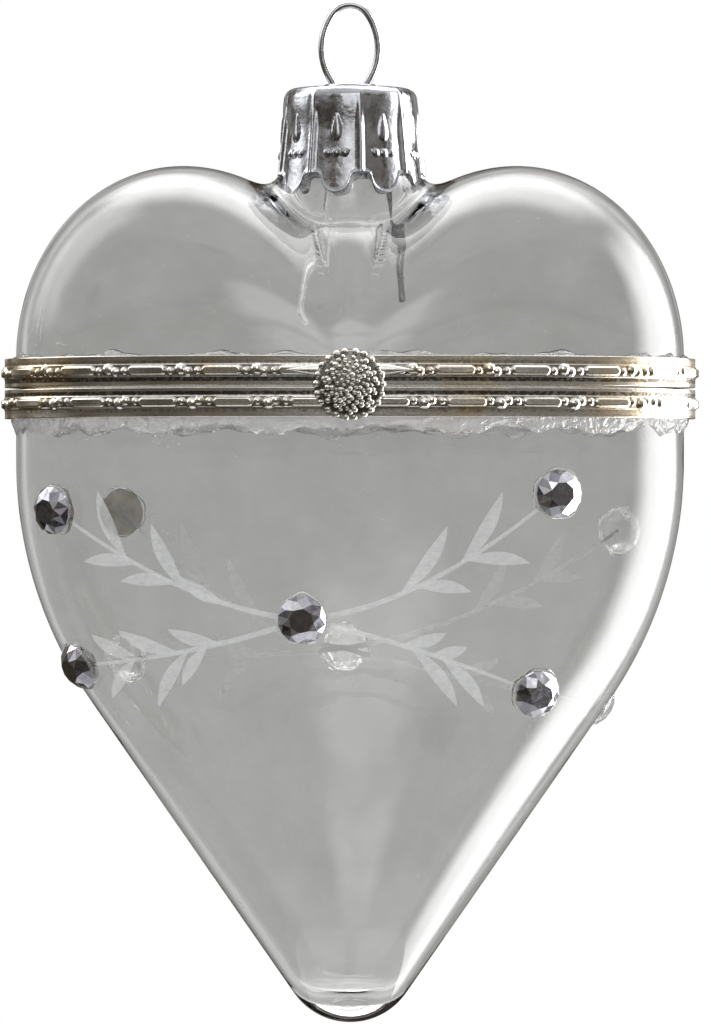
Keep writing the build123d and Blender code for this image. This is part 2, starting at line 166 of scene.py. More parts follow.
# Cement
CEMENT_STATIONS = 640
CEMENT_POINTS = 18
CEMENT_HEEL = 2.9
BASE_CEMENT_TOE = 5.6
LID_CEMENT_TOE = 4.2
CEMENT_SKIN = 0.06  # least thickness of the cement
CEMENT_BULGE = 0.5
CEMENT_RIPPLE = 0.22
CEMENT_MOST = 0.6  # most that it stands out above its skin
CEMENT_FOOT = 0.03  # gap that keeps its underside off the glass

# Stones: place across the heart, and drop below the parting plane
STONE_RADIUS = 2.6
STONE_GIRDLE = 0.35
STONE_CROWN = 1.05
STONE_TABLE = 1.35
STONE_FACETS = 8
KITE_RISE = 0.6  # share of the crown
KITE_REACH = 0.79  # share of the radius
PAD_RADIUS = 2.95
PAD_THICKNESS = 0.3
PAD_FLOOR = PAD_THICKNESS - 0.01
PAD_GAP = 0.015  # how far the pad's underside stays above the glass
PAD_EDGE = 0.06
PAD_PROFILE = [(share, PAD_FLOOR) for share in (0.3, 0.6, 0.85)]  # share of the radius, height above the seat
PAD_PROFILE += [(0.93, PAD_THICKNESS * 1.6), (0.98, PAD_THICKNESS * 0.9)]
SLOPE_STEP = 0.01  # over which the glass surface's slope is taken
FRONT_STONES = [(-32.0, 13.3), (22.3, 11.5), (-5.1, 25.0), (-29.3, 30.2), (20.0, 33.0)]
BACK_STONES = [(-25.5, 13.5), (30.2, 15.6), (-0.6, 28.8), (-25.2, 29.8), (27.0, 34.6)]
CLEAR_STONES = [f"back_stone_{number}" for number in (2, 3, 4, 5)]  # have lost their foil

# Engraving: each stem runs from the middle stone to an outer one and sags on the way.
# Leaves are (share of the way along, side, length, angle); side 1 is above the stem.
STEM_WIDTH = 0.65
LEAF_WIDTH = 1.4
LEAF_CURL = 0.06
LEAF_STEPS = np.linspace(0, 1, 22)
LEAF_OUTLINE = LEAF_WIDTH * np.sin(math.pi * LEAF_STEPS**1.1) ** 0.9
ENGRAVED_OUT = 0.03
ENGRAVED_EDGE = 0.4  # share of that at a stroke's two sides
STEM_TAPER = 0.55
FRONT_SPRAYS = [
    (1, 2.2, [(0.32, 1, 6, 12), (0.5, 1, 8, 38), (0.55, -1, 6, 22), (0.7, -1, 6, 26), (0.74, 1, 8, 36)]),
    (2, 2.6, [(0.42, 1, 9, 32), (0.48, -1, 6, 30), (0.64, 1, 9, 28), (0.66, -1, 7, 34)]),
    (4, 0.8, [(0.4, 1, 6, 28), (0.45, -1, 5, 44), (0.55, -1, 7, 50), (0.58, 1, 7, 30), (0.75, 1, 6, 34),
              (0.78, -1, 5, 50)]),
    (5, -0.6, [(0.45, 1, 5, 32), (0.5, -1, 8, 34), (0.58, 1, 4, 30), (0.62, -1, 7, 30)]),
]
BACK_SPRAYS = [
    (1, 3.0, [(0.4, 1, 9, 34), (0.62, 1, 9, 30), (0.66, -1, 6, 24), (0.8, 1, 7, 28)]),
    (2, 2.2, [(0.5, 1, 7, 34), (0.56, -1, 6, 26), (0.72, 1, 7, 30), (0.74, -1, 5, 26)]),
    (4, 0.5, [(0.42, 1, 6, 28), (0.46, -1, 6, 50), (0.66, 1, 6, 30), (0.7, -1, 6, 46)]),
    (5, 0.6, [(0.45, 1, 6, 30), (0.5, -1, 6, 36), (0.68, 1, 6, 30), (0.7, -1, 6, 36)]),
]

# Cap
CAP_RADIUS_TOP = 7.4
CAP_RADIUS_SKIRT = 8.6
CAP_SHEET = 0.25
CAP_CLEARANCE = 0.15
CAP_ROUND = 1.3
CAP_TABS = 9
TAB_TURN = math.radians(-81.4)  # a crease between two panels
TAB_SHARE = 0.58
TAB_HEIGHT = 2.2
PANEL_HALF_WIDTH = 2.7
PEARL_Z = 4.4
PEARL_RADIUS = 0.42
PEARL_PLACES = (-1.0, 0.0, 1.0)
DROP_Z = 7.2
DROP_HALF = 1.5
DROP_RADIUS = 0.55
CAP_COLUMNS = 40 * CAP_TABS
CAP_ROWS = 84
BOSS_RADIUS = 3.0
BOSS_HEIGHT = 0.5
BOSS_ROUND = 0.4
CREASE_WIDTH = 0.13  # share of half a panel
WIRE_HOLE_RADIUS = 0.5
CROWN_SINK = 0.1  # how far the panels are sunk between the creases
SKIRT_SINK = 0.28  # sunk further down the skirt
PANEL_RISE = 0.2
TAB_LIP = 0.16
TAB_LIP_WIDTH = 0.28
cap_top = cap_high[2] - BOSS_HEIGHT
skirt_z = cap_low[2]

# Wire, measured from the top of the cap
WIRE_RADIUS = 0.38
RING_HALF_WIDTH = 3.1
RING_WIDEST = 4.5
RING_FOOT_X = 2.1
RING_FOOT_Z = 1.0
BEND_Z = 0.375
HOLE_X = 1.76
LEFT_LEG = [(-4.6, -25.9), (-5.4, -24.5), (-2.5, -12.0)]
RIGHT_LEG = [(4.4, -11.5), (5.2, -16.6), (4.9, -19.2), (5.6, -23.4)]
BEND_RADIUS = 1.0
WIRE_END = 0.18  # length of the rounded end
ARC_POINTS = 30
WIRE_RINGS = 480
LEAST_STEP = 0.01
RING_SHINE = 0.5
LEFT_LEG_PAINTED_LIGHT = 0.85
RIGHT_LEG_PAINTED_SHADE = 0.1

# Clasp
BUTTON_BEADS = 96
RIM_BEADS = 22
BEAD_RADIUS = 0.3
RIM_BEAD_RADIUS = 0.44
BEAD_ROOM = 1.14  # a grain's stretch at its most
BUTTON_SIDES = 66
SPEAR_WAIST = 3.6
SPEAR_HALF_HEIGHT = 0.6
SPEAR_RIDGE_OUT = 0.42
SPEAR_EDGE_OUT = 0.1
SPEAR_BACK_OUT = 0.15
SPEAR_STATIONS = 121
BUTTON_SINK = 0.42  # how far the middle of its face lies behind the foremost grain
BUTTON_DOME = 0.7
button_radius = (button_high[0] - button_low[0]) / 2
button_z = (button_high[2] + button_low[2]) / 2

chance = random.Random(7)


# Mesh helpers


def finish_mesh(name, mesh, smooth=True):
    """Object from a mesh whose points are in millimetres, faces turned outwards."""
    mesh.transform(Matrix.Scale(MM, 4))
    work = bmesh.new()
    work.from_mesh(mesh)
    bmesh.ops.recalc_face_normals(work, faces=work.faces)
    work.to_mesh(mesh)
    work.free()
    mesh.polygons.foreach_set("use_smooth", [smooth] * len(mesh.polygons))
    piece = bpy.data.objects.new(name, mesh)
    bpy.context.scene.collection.objects.link(piece)
    return piece


def finish_work(name, work, smooth=True):
    """Object from a bmesh whose points are in millimetres."""
    mesh = bpy.data.meshes.new(name)
    work.to_mesh(mesh)
    work.free()
    return finish_mesh(name, mesh, smooth)


def ring_faces(rings, count, looped, first=0):
    """Quads between neighbouring rings of points, each ring closed on itself."""
    row = np.arange(rings if looped else rings - 1)[:, None]
    col = np.arange(count)[None, :]
    following = (row + 1) % rings
    beside = (col + 1) % count
    quads = (row * count + col, row * count + beside, following * count + beside, following * count + col)
    return (np.stack(quads, -1).reshape(-1, 4) + first).tolist()


def skin(name, rings, looped=True, poles=(None, None), values=None, smooth=True):
    """Piece skinned over rings of points, either looped or closed by a pole at each end."""
    rings = np.asarray(rings, float)
    total, count = rings.shape[:2]
    points = rings.reshape(-1, 3).tolist()
    faces = ring_faces(total, count, looped)
    for pole, start in zip(poles, (0, (total - 1) * count)):
        if pole is None:
            continue
        points.append(tuple(pole))
        faces += [(start + k, start + (k + 1) % count, len(points) - 1) for k in range(count)]
    mesh = bpy.data.meshes.new(name)
    mesh.from_pydata(points, [], faces)
    if values is not None:
        layer = mesh.attributes.new("relief", "FLOAT", "POINT")
        layer.data.foreach_set("value", np.resize(values, len(points)).astype(np.float32))
    return finish_mesh(name, mesh, smooth)


def tube_rings(path, radii, sides=20):
    """Rings round a path that lies in one XZ plane, one radius for each point."""
    path = np.asarray(path, float)
    along = np.gradient(path, axis=0)
    along /= np.linalg.norm(along, axis=1)[:, None]
    across = np.cross(along, (0, 1, 0))
    turns = np.linspace(0, math.tau, sides, endpoint=False)
    rings = []
    for point, side, radius in zip(path, across, radii):
        rings.append([point + radius * (side * math.cos(t) + np.array((0, math.sin(t), 0))) for t in turns])
    return rings


def place(piece, body, slot, nodes, *materials):
    """Gives a piece its materials and body, and hides the imported nodes it stands for; the slot argument is
    not used.
    """
    for material in materials:
        piece.data.materials.append(material)
    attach(piece, body)
    if nodes:
        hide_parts(*nodes)


def smoothstep(low, high, value):
    share = np.clip((value - low) / (high - low), 0, 1)
    return share * share * (3 - 2 * share)


# Material helpers


class Nodes:
    """Short ways to add nodes to a tree. An input is a value or another node's output."""

    def __init__(self, tree):
        self.tree = tree

    def put(self, socket, value):
        if isinstance(value, bpy.types.NodeSocket):
            self.tree.links.new(value, socket)
        else:
            socket.default_value = value

    def add(self, kind, output, inputs=None, **settings):
        """One output of a new node."""
        node = self.tree.nodes.new("ShaderNode" + kind)
        for setting, value in settings.items():
            setattr(node, setting, value)
        for socket, value in (inputs or {}).items():
            self.put(node.inputs[socket], value)
        return node.outputs[output]

    def noise(self, scale, detail=3.0, stretch=None, rough=0.5):
        """Noise with scale in bumps per unit of coords."""
        vector = self.coords
        if stretch:
            vector = self.add("VectorMath", "Vector", {0: vector, 1: stretch}, operation="MULTIPLY")
        inputs = {"Vector": vector, "Scale": scale, "Detail": detail, "Roughness": rough}
        return self.add("TexNoise", "Fac", inputs)

    def span(self, value, low, high, to_low=0, to_high=1, steps="LINEAR"):
        """Maps a value from one range to another, clamped."""
        inputs = {"Value": value, "From Min": low, "From Max": high, "To Min": to_low, "To Max": to_high}
        return self.add("MapRange", "Result", inputs, interpolation_type=steps)

    def math(self, operation, first, second):
        return self.add("Math", "Value", {0: first, 1: second}, operation=operation)

    def part(self, vector, axis):
        return self.add("SeparateXYZ", axis, {"Vector": vector})

    def mix(self, share, first, second):
        """Mix of two colours."""
        return self.add("Mix", "Result", {"Factor": share, "A": first, "B": second}, data_type="RGBA")

    def ramp(self, value, stops):
        """Colour ramp from (place, colour) stops."""
        node = self.tree.nodes.new("ShaderNodeValToRGB")
        self.put(node.inputs["Fac"], value)
        elements = node.color_ramp.elements
        while len(elements) < len(stops):
            elements.new(0.5)
        for element, (position, colour) in zip(elements, stops):
            element.position = position
            element.color = (*colour, 1)
        return node.outputs["Color"]


class Shader(Nodes):
    """A Principled material, with noise and bumps measured in millimetres."""

    def __init__(self, name, **settings):
        self.material = bpy.data.materials.new(name)
        self.material.use_nodes = True
        super().__init__(self.material.node_tree)
        self.surface = self.tree.nodes["Principled BSDF"]
        for socket, value in settings.items():
            self.feed(socket.replace("_", " "), value)
        metres = self.add("TexCoord", "Object")
        self.coords = self.add("VectorMath", "Vector", {0: metres, "Scale": 1 / MM}, operation="SCALE")

    def feed(self, socket, value):
        self.put(self.surface.inputs[socket], value)

    def specks(self, scale, size):
        """1 in small round specks, 0 elsewhere."""
        distance = self.add("TexVoronoi", "Distance", {"Vector": self.coords, "Scale": scale})
        return self.span(distance, size, size * 0.5)

    def wear_and_painted_light(self, noise, swing):
        """The piece's relief attribute, which holds wear and painted light, give or take a swing of noise."""
        relief = self.add("Attribute", "Fac", attribute_name="relief")
        return self.math("ADD", relief, self.span(noise, 0.3, 0.7, -swing, swing))

    def bump(self, height, strength, distance):
        inputs = {"Strength": strength, "Distance": distance * MM, "Height": height}
        self.feed("Normal", self.add("Bump", "Normal", inputs))


# Materials


def glass_material():
    """Thin blown glass: faint waves, drawn scratches and dust specks."""
    shader = Shader("blown_glass", Base_Color=(0.97, 0.98, 0.975, 1), Transmission_Weight=1.0, IOR=1.47)
    film = shader.noise(0.12, 8, rough=0.75)
    shader.feed("Base Color", shader.ramp(film, [(0.35, (0.915, 0.92, 0.91)), (0.65, (0.99, 0.99, 0.985))]))
    scratches = shader.span(shader.noise(1.6, 4, (0.25, 1.0, 1.6)), 0.68, 0.78, 0, 0.5)
    marks = shader.math("MAXIMUM", shader.specks(0.42, 0.045), scratches)
    shader.feed("Roughness", shader.span(marks, 0, 1, 0.0, 0.35))
    shader.bump(shader.math("ADD", shader.noise(0.12, 2), shader.math("MULTIPLY", marks, 0.25)), 0.25, 0.25)
    return shader.material


def nickel_material():
    """Cast nickel plate: bright on the relief, dull and warm in the hollows; the bands' tone also carries
    painted highlights and painted shade.
    """
    shader = Shader("bezel_nickel", Metallic=1.0)
    wear_and_painted_light = shader.wear_and_painted_light(shader.noise(2.5, 5), 0.18)
    cold = [(0.0, (0.08, 0.075, 0.07)), (0.4, (0.58, 0.55, 0.50)), (1.0, (0.96, 0.94, 0.90))]
    warm = [(0.0, (0.08, 0.06, 0.04)), (0.4, (0.56, 0.46, 0.32)), (1.0, (0.92, 0.84, 0.68))]
    patches = shader.span(shader.noise(0.09, 2), 0.48, 0.62)
    shader.feed("Base Color", shader.mix(patches, shader.ramp(wear_and_painted_light, cold), shader.ramp(wear_and_painted_light, warm)))
    shader.feed("Roughness", shader.span(wear_and_painted_light, 0.1, 0.9, 0.34, 0.16))
    shader.bump(shader.noise(3.5, 5), 0.22, 0.05)
    return shader.material


def plain_material(name, stops, tone, gloss, rough, dents=None, swing=None, spread=(0.3, 0.7), **settings):
    """Colour from a tone noise or from the relief attribute's wear and painted light, uneven gloss and fine
    dents.

    Noises are (scale, detail, stretch); dents have a strength and a depth before theirs.
    """
    shader = Shader(name, **settings)
    value = shader.noise(*tone)
    if swing:
        value = shader.wear_and_painted_light(value, swing)
    shader.feed("Base Color", shader.ramp(value, stops))
    shader.feed("Roughness", shader.span(shader.noise(*gloss), *spread, *rough))
    if dents:
        strength, depth, *noise = dents
        shader.bump(shader.noise(*noise), strength, depth)
    return shader.material


def steel_material(name, dark, bright):
    """Brushed plated steel for the hinge and the catch."""
    return plain_material(
        name, [(0.3, dark), (0.7, bright)], (1.5, 5), (2.5, 4, (0.4, 4, 4)), (0.18, 0.4),
        dents=(0.15, 0.04, 3.0, 3, (0.4, 4, 4)), Metallic=1.0,
    )


def clear_material(name, wave, fog, clearness=1.0):
    """Clear glue, cement or bare crystal: lumpy, with foggy patches."""
    shader = Shader(name, Base_Color=(0.99, 0.99, 0.99, 1), Transmission_Weight=clearness, IOR=1.5)
    shader.feed("Roughness", shader.span(shader.noise(0.9, 4), 0.45, 0.75, 0.02, fog))
    shader.bump(shader.noise(0.8, 4), 0.6, wave)
    return shader.material


def engraved_material(name, tone, cover):
    """Ground glass strokes: pale, half see-through, with fine lines from the wheel."""
    shader = Shader(name, Roughness=0.7, Transmission_Weight=0.1, IOR=1.25)
    grain = shader.noise(1.2, 3)
    lines = shader.noise(1.5, 4, (0.5, 1, 4))
    dull = (tone - 0.06, tone - 0.03, tone - 0.02)
    shader.feed("Base Color", shader.ramp(grain, [(0.3, dull), (0.7, (tone, tone, tone))]))
    shader.feed("Alpha", shader.span(shader.math("ADD", grain, lines), 0.7, 1.3, cover - 0.06, cover + 0.06))
    shader.bump(grain, 0.15, 0.02)
    return shader.material


def floor_material():
    """Pale matt floor with a faint mottle."""
    shader = Shader("pale_floor", Roughness=0.85)
    mottle = shader.noise(0.02, 3)
    shader.feed("Base Color", shader.ramp(mottle, [(0.3, (0.80, 0.80, 0.79)), (0.7, (0.84, 0.84, 0.83))]))
    return shader.material


glass = glass_material()
nickel = nickel_material()
# Granulated silver plate, dark between the grains, each grain painted lighter towards its front as a painted
# highlight
silver_clasp = plain_material(
    "clasp_silver", [(0.0, (0.22, 0.21, 0.19)), (0.5, (0.62, 0.60, 0.55)), (1.0, (0.95, 0.94, 0.90))],
    (3.0, 4), (2.0, 4), (0.2, 0.38), dents=(0.3, 0.04, 6.0, 3), swing=0.15, Metallic=1.0,
)
# Thin mirror silver, lightly scuffed
silver_cap = plain_material(
    "cap_silver", [(0.25, (0.29, 0.295, 0.31)), (0.75, (0.50, 0.51, 0.54))],
    (0.6, 4), (1.8, 5, (1, 1, 0.4)), (0.12, 0.30), dents=(0.35, 0.12, 1.1, 3),
    spread=(0.35, 0.75), Metallic=1.0,
)
# Drawn spring steel with fine lines along it, with painted light on one leg and painted shade on the other
spring_steel = plain_material(
    "wire_steel", [(0.0, (0.12, 0.12, 0.12)), (0.5, (0.52, 0.52, 0.54)), (1.0, (0.96, 0.96, 0.96))],
    (1.2, 4), (3.0, 4, (6, 6, 0.5)), (0.16, 0.32), dents=(0.15, 0.03, 3.0, 3, (6, 6, 0.6)),
    swing=0.12, Metallic=1.0,
)
hinge_metal = steel_material("hinge_nickel", (0.34, 0.32, 0.29), (0.70, 0.68, 0.64))
pin_metal = steel_material("pin_steel", (0.40, 0.40, 0.41), (0.68, 0.68, 0.70))
# Facets over silver foil, seen as a mirror, with painted reflections: each facet given its own tone
crystal = plain_material(
    "crystal_facets", [(0.1, (0.17, 0.17, 0.20)), (0.5, (0.38, 0.38, 0.42)), (0.9, (0.64, 0.64, 0.70))],
    (1.5, 2), (2.5, 3), (0.18, 0.32), swing=0.08,
    Metallic=1.0, Coat_Weight=1.0, Coat_Roughness=0.02, Coat_IOR=1.55,
)
# Painted back of the foil, brown-grey and crazed
foil_back = plain_material(
    "foil_back", [(0.3, (0.33, 0.28, 0.22)), (0.7, (0.62, 0.55, 0.46))],
    (1.1, 5), (2.0, 3), (0.3, 0.6), dents=(0.4, 0.08, 2.2, 4, (1, 1, 3)), Metallic=0.1,
)
cement_clear = clear_material("clear_cement", 1.6, 0.2, 0.8)
glue_clear = clear_material("clear_glue", 0.15, 0.15)
bare_crystal = clear_material("bare_crystal", 0.05, 0.06)
frost = engraved_material("engraved_frost", 0.82, 0.38)
# The back strokes' copy is painted lighter and less see-through than the front's, making up for the light
# they lose behind the glass: painted light
frost_behind_painted_lighter = engraved_material("engraved_frost_behind", 0.96, 0.74)


# Lower glass


def base_half_width(drop):
    """Half the width of the lower shell at a drop below the parting plane."""
    flank_start = UPRIGHT_DROP + SHOULDER_RADIUS * math.sin(FLANK_ANGLE)
    flank_width = HALF_WIDTH - SHOULDER_RADIUS * (1 - math.cos(FLANK_ANGLE))
    apex_drop = flank_start + flank_width / math.tan(FLANK_ANGLE)
    tip_radius = (apex_drop - BASE_DROP) / (1 / math.sin(FLANK_ANGLE) - 1)
    tip_centre = BASE_DROP - tip_radius
    if drop <= UPRIGHT_DROP:
        return HALF_WIDTH
    if drop <= flank_start:
        fall = drop - UPRIGHT_DROP
        return HALF_WIDTH - SHOULDER_RADIUS + math.sqrt(SHOULDER_RADIUS**2 - fall**2)
    if drop <= tip_centre + tip_radius * math.sin(FLANK_ANGLE):
        return flank_width - (drop - flank_start) * math.tan(FLANK_ANGLE)
    return math.sqrt(max(tip_radius**2 - (drop - tip_centre) ** 2, 0))


def base_half_depth(drop):
    """Half the depth of the lower shell, a long ellipse from waist to tip."""
    return HALF_DEPTH * math.sqrt(max(1 - (drop / BASE_DROP) ** 2, 0))


def oval_ring(width, depth, z, turns):
    return np.stack([width * np.cos(turns), depth * np.sin(turns), z + 0 * turns], -1)


def waist_ring(out, z, turns):
    """Ring like the waist's ellipse, grown by out."""
    return oval_ring(HALF_WIDTH + out, HALF_DEPTH + out, z, turns)


def ground_edge(side, turns):
    """Rounded rim of a shell at the parting plane, from its inner face to its outer one."""
    shifts = (WALL - EDGE_CHAMFER, WALL - EDGE_ROUND, EDGE_ROUND, EDGE_CHAMFER)
    rises = (EDGE_CHAMFER, 0, 0, EDGE_CHAMFER)
    heights = [PARTING_Z + side * (EDGE_GAP + rise) for rise in rises]
    return [waist_ring(-shift, z, turns) for shift, z in zip(shifts, heights)]


def waves(turns, height):
    """Slow unevenness of the inner surface of blown glass, always into the hollow."""
    swirl = np.sin(3 * turns + 0.13 * height) + 0.7 * np.sin(5 * turns - 0.21 * height + 1)
    return WAVINESS * (1.7 + swirl) / 3.4


def base_glass():
    turns = np.linspace(0, math.tau, GLASS_TURNS, endpoint=False)
    first = math.asin((EDGE_GAP + EDGE_ROUND) / BASE_DROP)
    inner_drop = BASE_DROP - TIP_THICKNESS
    outer = []
    inner = []
    for angle in np.linspace(first, math.pi / 2, BASE_RINGS, endpoint=False):
        drop = BASE_DROP * math.sin(angle)
        outer.append(oval_ring(base_half_width(drop), base_half_depth(drop), PARTING_Z - drop, turns))
        fall = inner_drop * math.sin(angle)
        width = min(base_half_width(fall) - WALL, base_half_width(drop))
        depth = (HALF_DEPTH - WALL) * math.cos(angle)
        ring = oval_ring(width, depth, PARTING_Z - fall, turns)
        thinned = min(1, depth / WAVES_FADE) * waves(turns, fall)
        ring[:, :2] *= (1 - thinned / np.hypot(ring[:, 0], ring[:, 1]))[:, None]
        ring[:, 2] += NUB_HEIGHT * np.exp(-np.sum(ring[:, :2] ** 2, 1) / NUB_RADIUS**2)
        inner.append(ring)
    rings = inner[::-1] + ground_edge(-1, turns) + outer
    poles = ((0, 0, PARTING_Z - inner_drop + NUB_HEIGHT), (0, 0, PARTING_Z - BASE_DROP))
    return skin("base_glass_blown", rings, looped=False, poles=poles)


place(base_glass(), "base", "clear_glass", ["base_glass"], glass)


# Upper glass


def lobe_reach(angle, inset):
    """Distance from the centre of the parting plane to a lobe, or 0 where it misses."""
    across = math.cos(angle)
    up = math.sin(angle)
    radius_x = LOBE_RADIUS_X - inset
    radius_z = LOBE_RADIUS_Z - inset
    upright = (LOBE_X + radius_x) / across
    if upright * up < LOBE_Z:
        return upright
    square = (across / radius_x) ** 2 + (up / radius_z) ** 2
    linear = across * LOBE_X / radius_x**2 + up * LOBE_Z / radius_z**2
    constant = (LOBE_X / radius_x) ** 2 + (LOBE_Z / radius_z) ** 2 - 1
    root = linear**2 - square * constant
    return (linear + math.sqrt(root)) / square if root > 0 else 0.0


def heart_reach(angle, inset):
    """Outline of the upper heart in front view, lobes and saddle blended."""
    lobe = lobe_reach(angle, inset)
    saddle = SADDLE_HEIGHT - inset
    blended = (lobe**SADDLE_BLEND + saddle**SADDLE_BLEND) ** (1 / SADDLE_BLEND)
    return lobe + (blended - lobe) * math.sin(angle) ** 2


def lid_height(x, y, inset):
    """Height of the upper shell above the parting plane, over a place inside its outline."""
    low, high = 0.0, LOBE_RADIUS_Z + LOBE_Z + 1
    for _ in range(26):
        middle = (low + high) / 2
        outline = heart_reach(math.atan2(middle, abs(x)), inset)
        inside = (x**2 + middle**2) / outline**2 + (y / (HALF_DEPTH - inset)) ** 2 < 1
        low, high = (middle, high) if inside else (low, middle)
    return low


def lid_point(turn, elevation, inset):
    """Point of the upper shell, inflated from the heart outline to the half depth."""
    azimuth = math.atan2(HALF_DEPTH * math.sin(turn), HALF_WIDTH * math.cos(turn))
    x = math.cos(elevation) * math.cos(azimuth)
    y = math.cos(elevation) * math.sin(azimuth)
    z = math.sin(elevation)
    outline = heart_reach(math.atan2(z, abs(x)), inset)
    reach = 1 / math.sqrt((x**2 + z**2) / outline**2 + (y / (HALF_DEPTH - inset)) ** 2)
    return (x * reach, y * reach, PARTING_Z + z * reach)


def neck_radius(height, inset):
    share = (height - NECK_FOOT_Z) / (NECK_TOP_Z - NECK_FOOT_Z)
    return NECK_FOOT_RADIUS + (NECK_TOP_RADIUS - NECK_FOOT_RADIUS) * share - inset


def neck_foot(turn, inset, wall):
    """Where the neck meets the dome, at one turn: radius and height."""
    height = SADDLE_HEIGHT - inset
    for _ in range(8):
        radius = neck_radius(height, wall)
        height = lid_height(radius * math.cos(turn), radius * math.sin(turn), inset)
    return radius, height


def dome_rings(inset, wall, turns):
    """Rings from the waist up to the neck's foot, along curves that fan in to it."""
    start = math.asin((EDGE_GAP + EDGE_ROUND) / HALF_WIDTH)
    rings = [[] for _ in range(DOME_RINGS)]
    for turn in turns:
        radius, height = neck_foot(turn, inset, wall)
        top = math.atan2(height, radius)
        foot_turn = math.atan2(math.sin(turn) * HALF_WIDTH, math.cos(turn) * HALF_DEPTH)
        shift = (foot_turn - turn + math.pi) % math.tau - math.pi
        for ring, share in zip(rings, np.linspace(0, 1, DOME_RINGS)):
            elevation = start + (top - start) * share
            ring.append(lid_point(turn + shift * smoothstep(0, 1, share), elevation, inset))
    return [np.array(ring) for ring in rings]


def neck_rings(feet_ring, wall, turns):
    """Rings up the neck from the dome's last ring."""
    feet = feet_ring[:, 2] - PARTING_Z
    rings = []
    for share in np.linspace(0, 1, NECK_RINGS + 1)[1:]:
        height = feet + (NECK_TOP_Z - NECK_RIM - feet) * share
        radius = neck_radius(height, wall)
        rings.append(oval_ring(radius, radius, PARTING_Z + height, turns))
    return rings


def soften(rings, centre, reach, passes):
    """Evens out the crease between dome and neck, leaving the rest alone."""
    rings = np.array(rings)
    index = np.arange(len(rings))
    weight = np.exp(-(((index - centre) / reach) ** 2))[:, None, None]
    for _ in range(passes):
        even = rings.copy()
        even[1:-1] = (rings[:-2] + rings[2:]) / 2
        rings += (even - rings) * weight * 0.8
    return list(rings)


def lid_glass():
    turns = np.linspace(0, math.tau, GLASS_TURNS, endpoint=False) + math.pi / GLASS_TURNS
    outer = dome_rings(0, 0, turns)
    outer += neck_rings(outer[-1], 0, turns)
    inner = dome_rings(WALL, NECK_WALL, turns)
    for ring in inner[:-6]:
        squeeze = waves(turns, ring[:, 2]) / np.hypot(ring[:, 0], ring[:, 1])
        ring[:, :2] *= (1 - squeeze)[:, None]
    inner += neck_rings(inner[-1], NECK_WALL, turns)
    outer = soften(outer, DOME_RINGS, CREASE_REACH, CREASE_PASSES)
    inner = soften(inner, DOME_RINGS, CREASE_REACH, CREASE_PASSES)
    lip = [
        oval_ring(NECK_TOP_RADIUS - shift, NECK_TOP_RADIUS - shift, PARTING_Z + NECK_TOP_Z - fall, turns)
        for shift, fall in RIM_ROUND
    ]
    return skin("lid_glass_blown", ground_edge(1, turns) + outer + lip + inner[::-1])


place(lid_glass(), "lid", "clear_glass", ["lid_glass"], glass)


# Bands


def even_turns(count, out):
    """Turns round the waist that are evenly spaced along it, and the share of the way round."""
    fine = np.linspace(0, math.tau, 4096)
    steps = np.linalg.norm(np.diff(waist_ring(out, 0, fine), axis=0), axis=1)
    way = np.concatenate([[0], np.cumsum(steps)])
    stations = np.linspace(0, way[-1], count, endpoint=False)
    return np.interp(stations, way, fine), stations / way[-1]


def dome_relief(distance, radius):
    """Height share of a round-topped form, from its centre line outwards."""
    return np.sqrt(np.clip(1 - (distance / radius) ** 2, 0, 1))


def band_relief(along, height, phase):
    """Relief of the raised line, 0 to 1: bars, and knots of beads between them."""
    across = ((along + phase + 0.5) % 1 - 0.5) * MOTIF_PITCH
    rise = height - LINE_MIDDLE
    bar = dome_relief(np.hypot(np.maximum(np.abs(across) - BAR_HALF + BAR_RADIUS, 0), rise), BAR_RADIUS)
    relief = 0.85 * np.minimum(1, 1.35 * bar)
    knot = (across + MOTIF_PITCH) % MOTIF_PITCH - MOTIF_PITCH / 2
    for centre, lift, radius, top in KNOT_BEADS:
        relief = np.maximum(relief, top * dome_relief(np.hypot(knot - centre, rise - lift), radius))
    return relief


def band_out(heights, along, phase):
    """How far the band's face stands out, and its tone with painted light, at heights above the parting
    plane.
    """
    relief = band_relief(along, heights, phase)
    off_line = np.abs(heights - LINE_MIDDLE)
    ledge = smoothstep(LINE_HALF + 0.06, LINE_HALF - 0.06, off_line)
    edging = np.exp(-(((off_line - LINE_HALF + 0.08) / 0.07) ** 2))
    lip_top = FACE_GAP + LIP_HEIGHT
    lip = smoothstep(lip_top + 0.08, lip_top - 0.02, heights)
    groove = smoothstep(0, 0.12, heights - lip_top) * smoothstep(0.14, 0, heights - 0.88)
    shoulder = np.clip((heights - (FACE_GAP + BAND_HEIGHT - 0.6)) / 0.6, 0, 1)
    bulge = np.clip(off_line / FACE_HALF, 0, 1)
    rounded = FACE_EDGE_OUT + (FACE_OUT - FACE_EDGE_OUT) * np.sqrt(1 - bulge**2)
    face = rounded + LEDGE_RISE * ledge + EDGING_RISE * edging + LIP_RISE * lip - GROOVE_DEPTH * groove
    out = np.maximum(face, FACE_OUT + (LINE_OUT - FACE_OUT) * relief)
    # Tone: lighter on the relief, with painted highlights on the lip, along the ledge's edges and towards the
    # top of the face, and painted shade in the groove
    tone_and_painted_light = 0.25 + 0.75 * relief + 0.4 * lip + 0.5 * edging * ledge + 0.7 * shoulder - 0.25 * groove
    return out, np.clip(tone_and_painted_light, 0, 1)


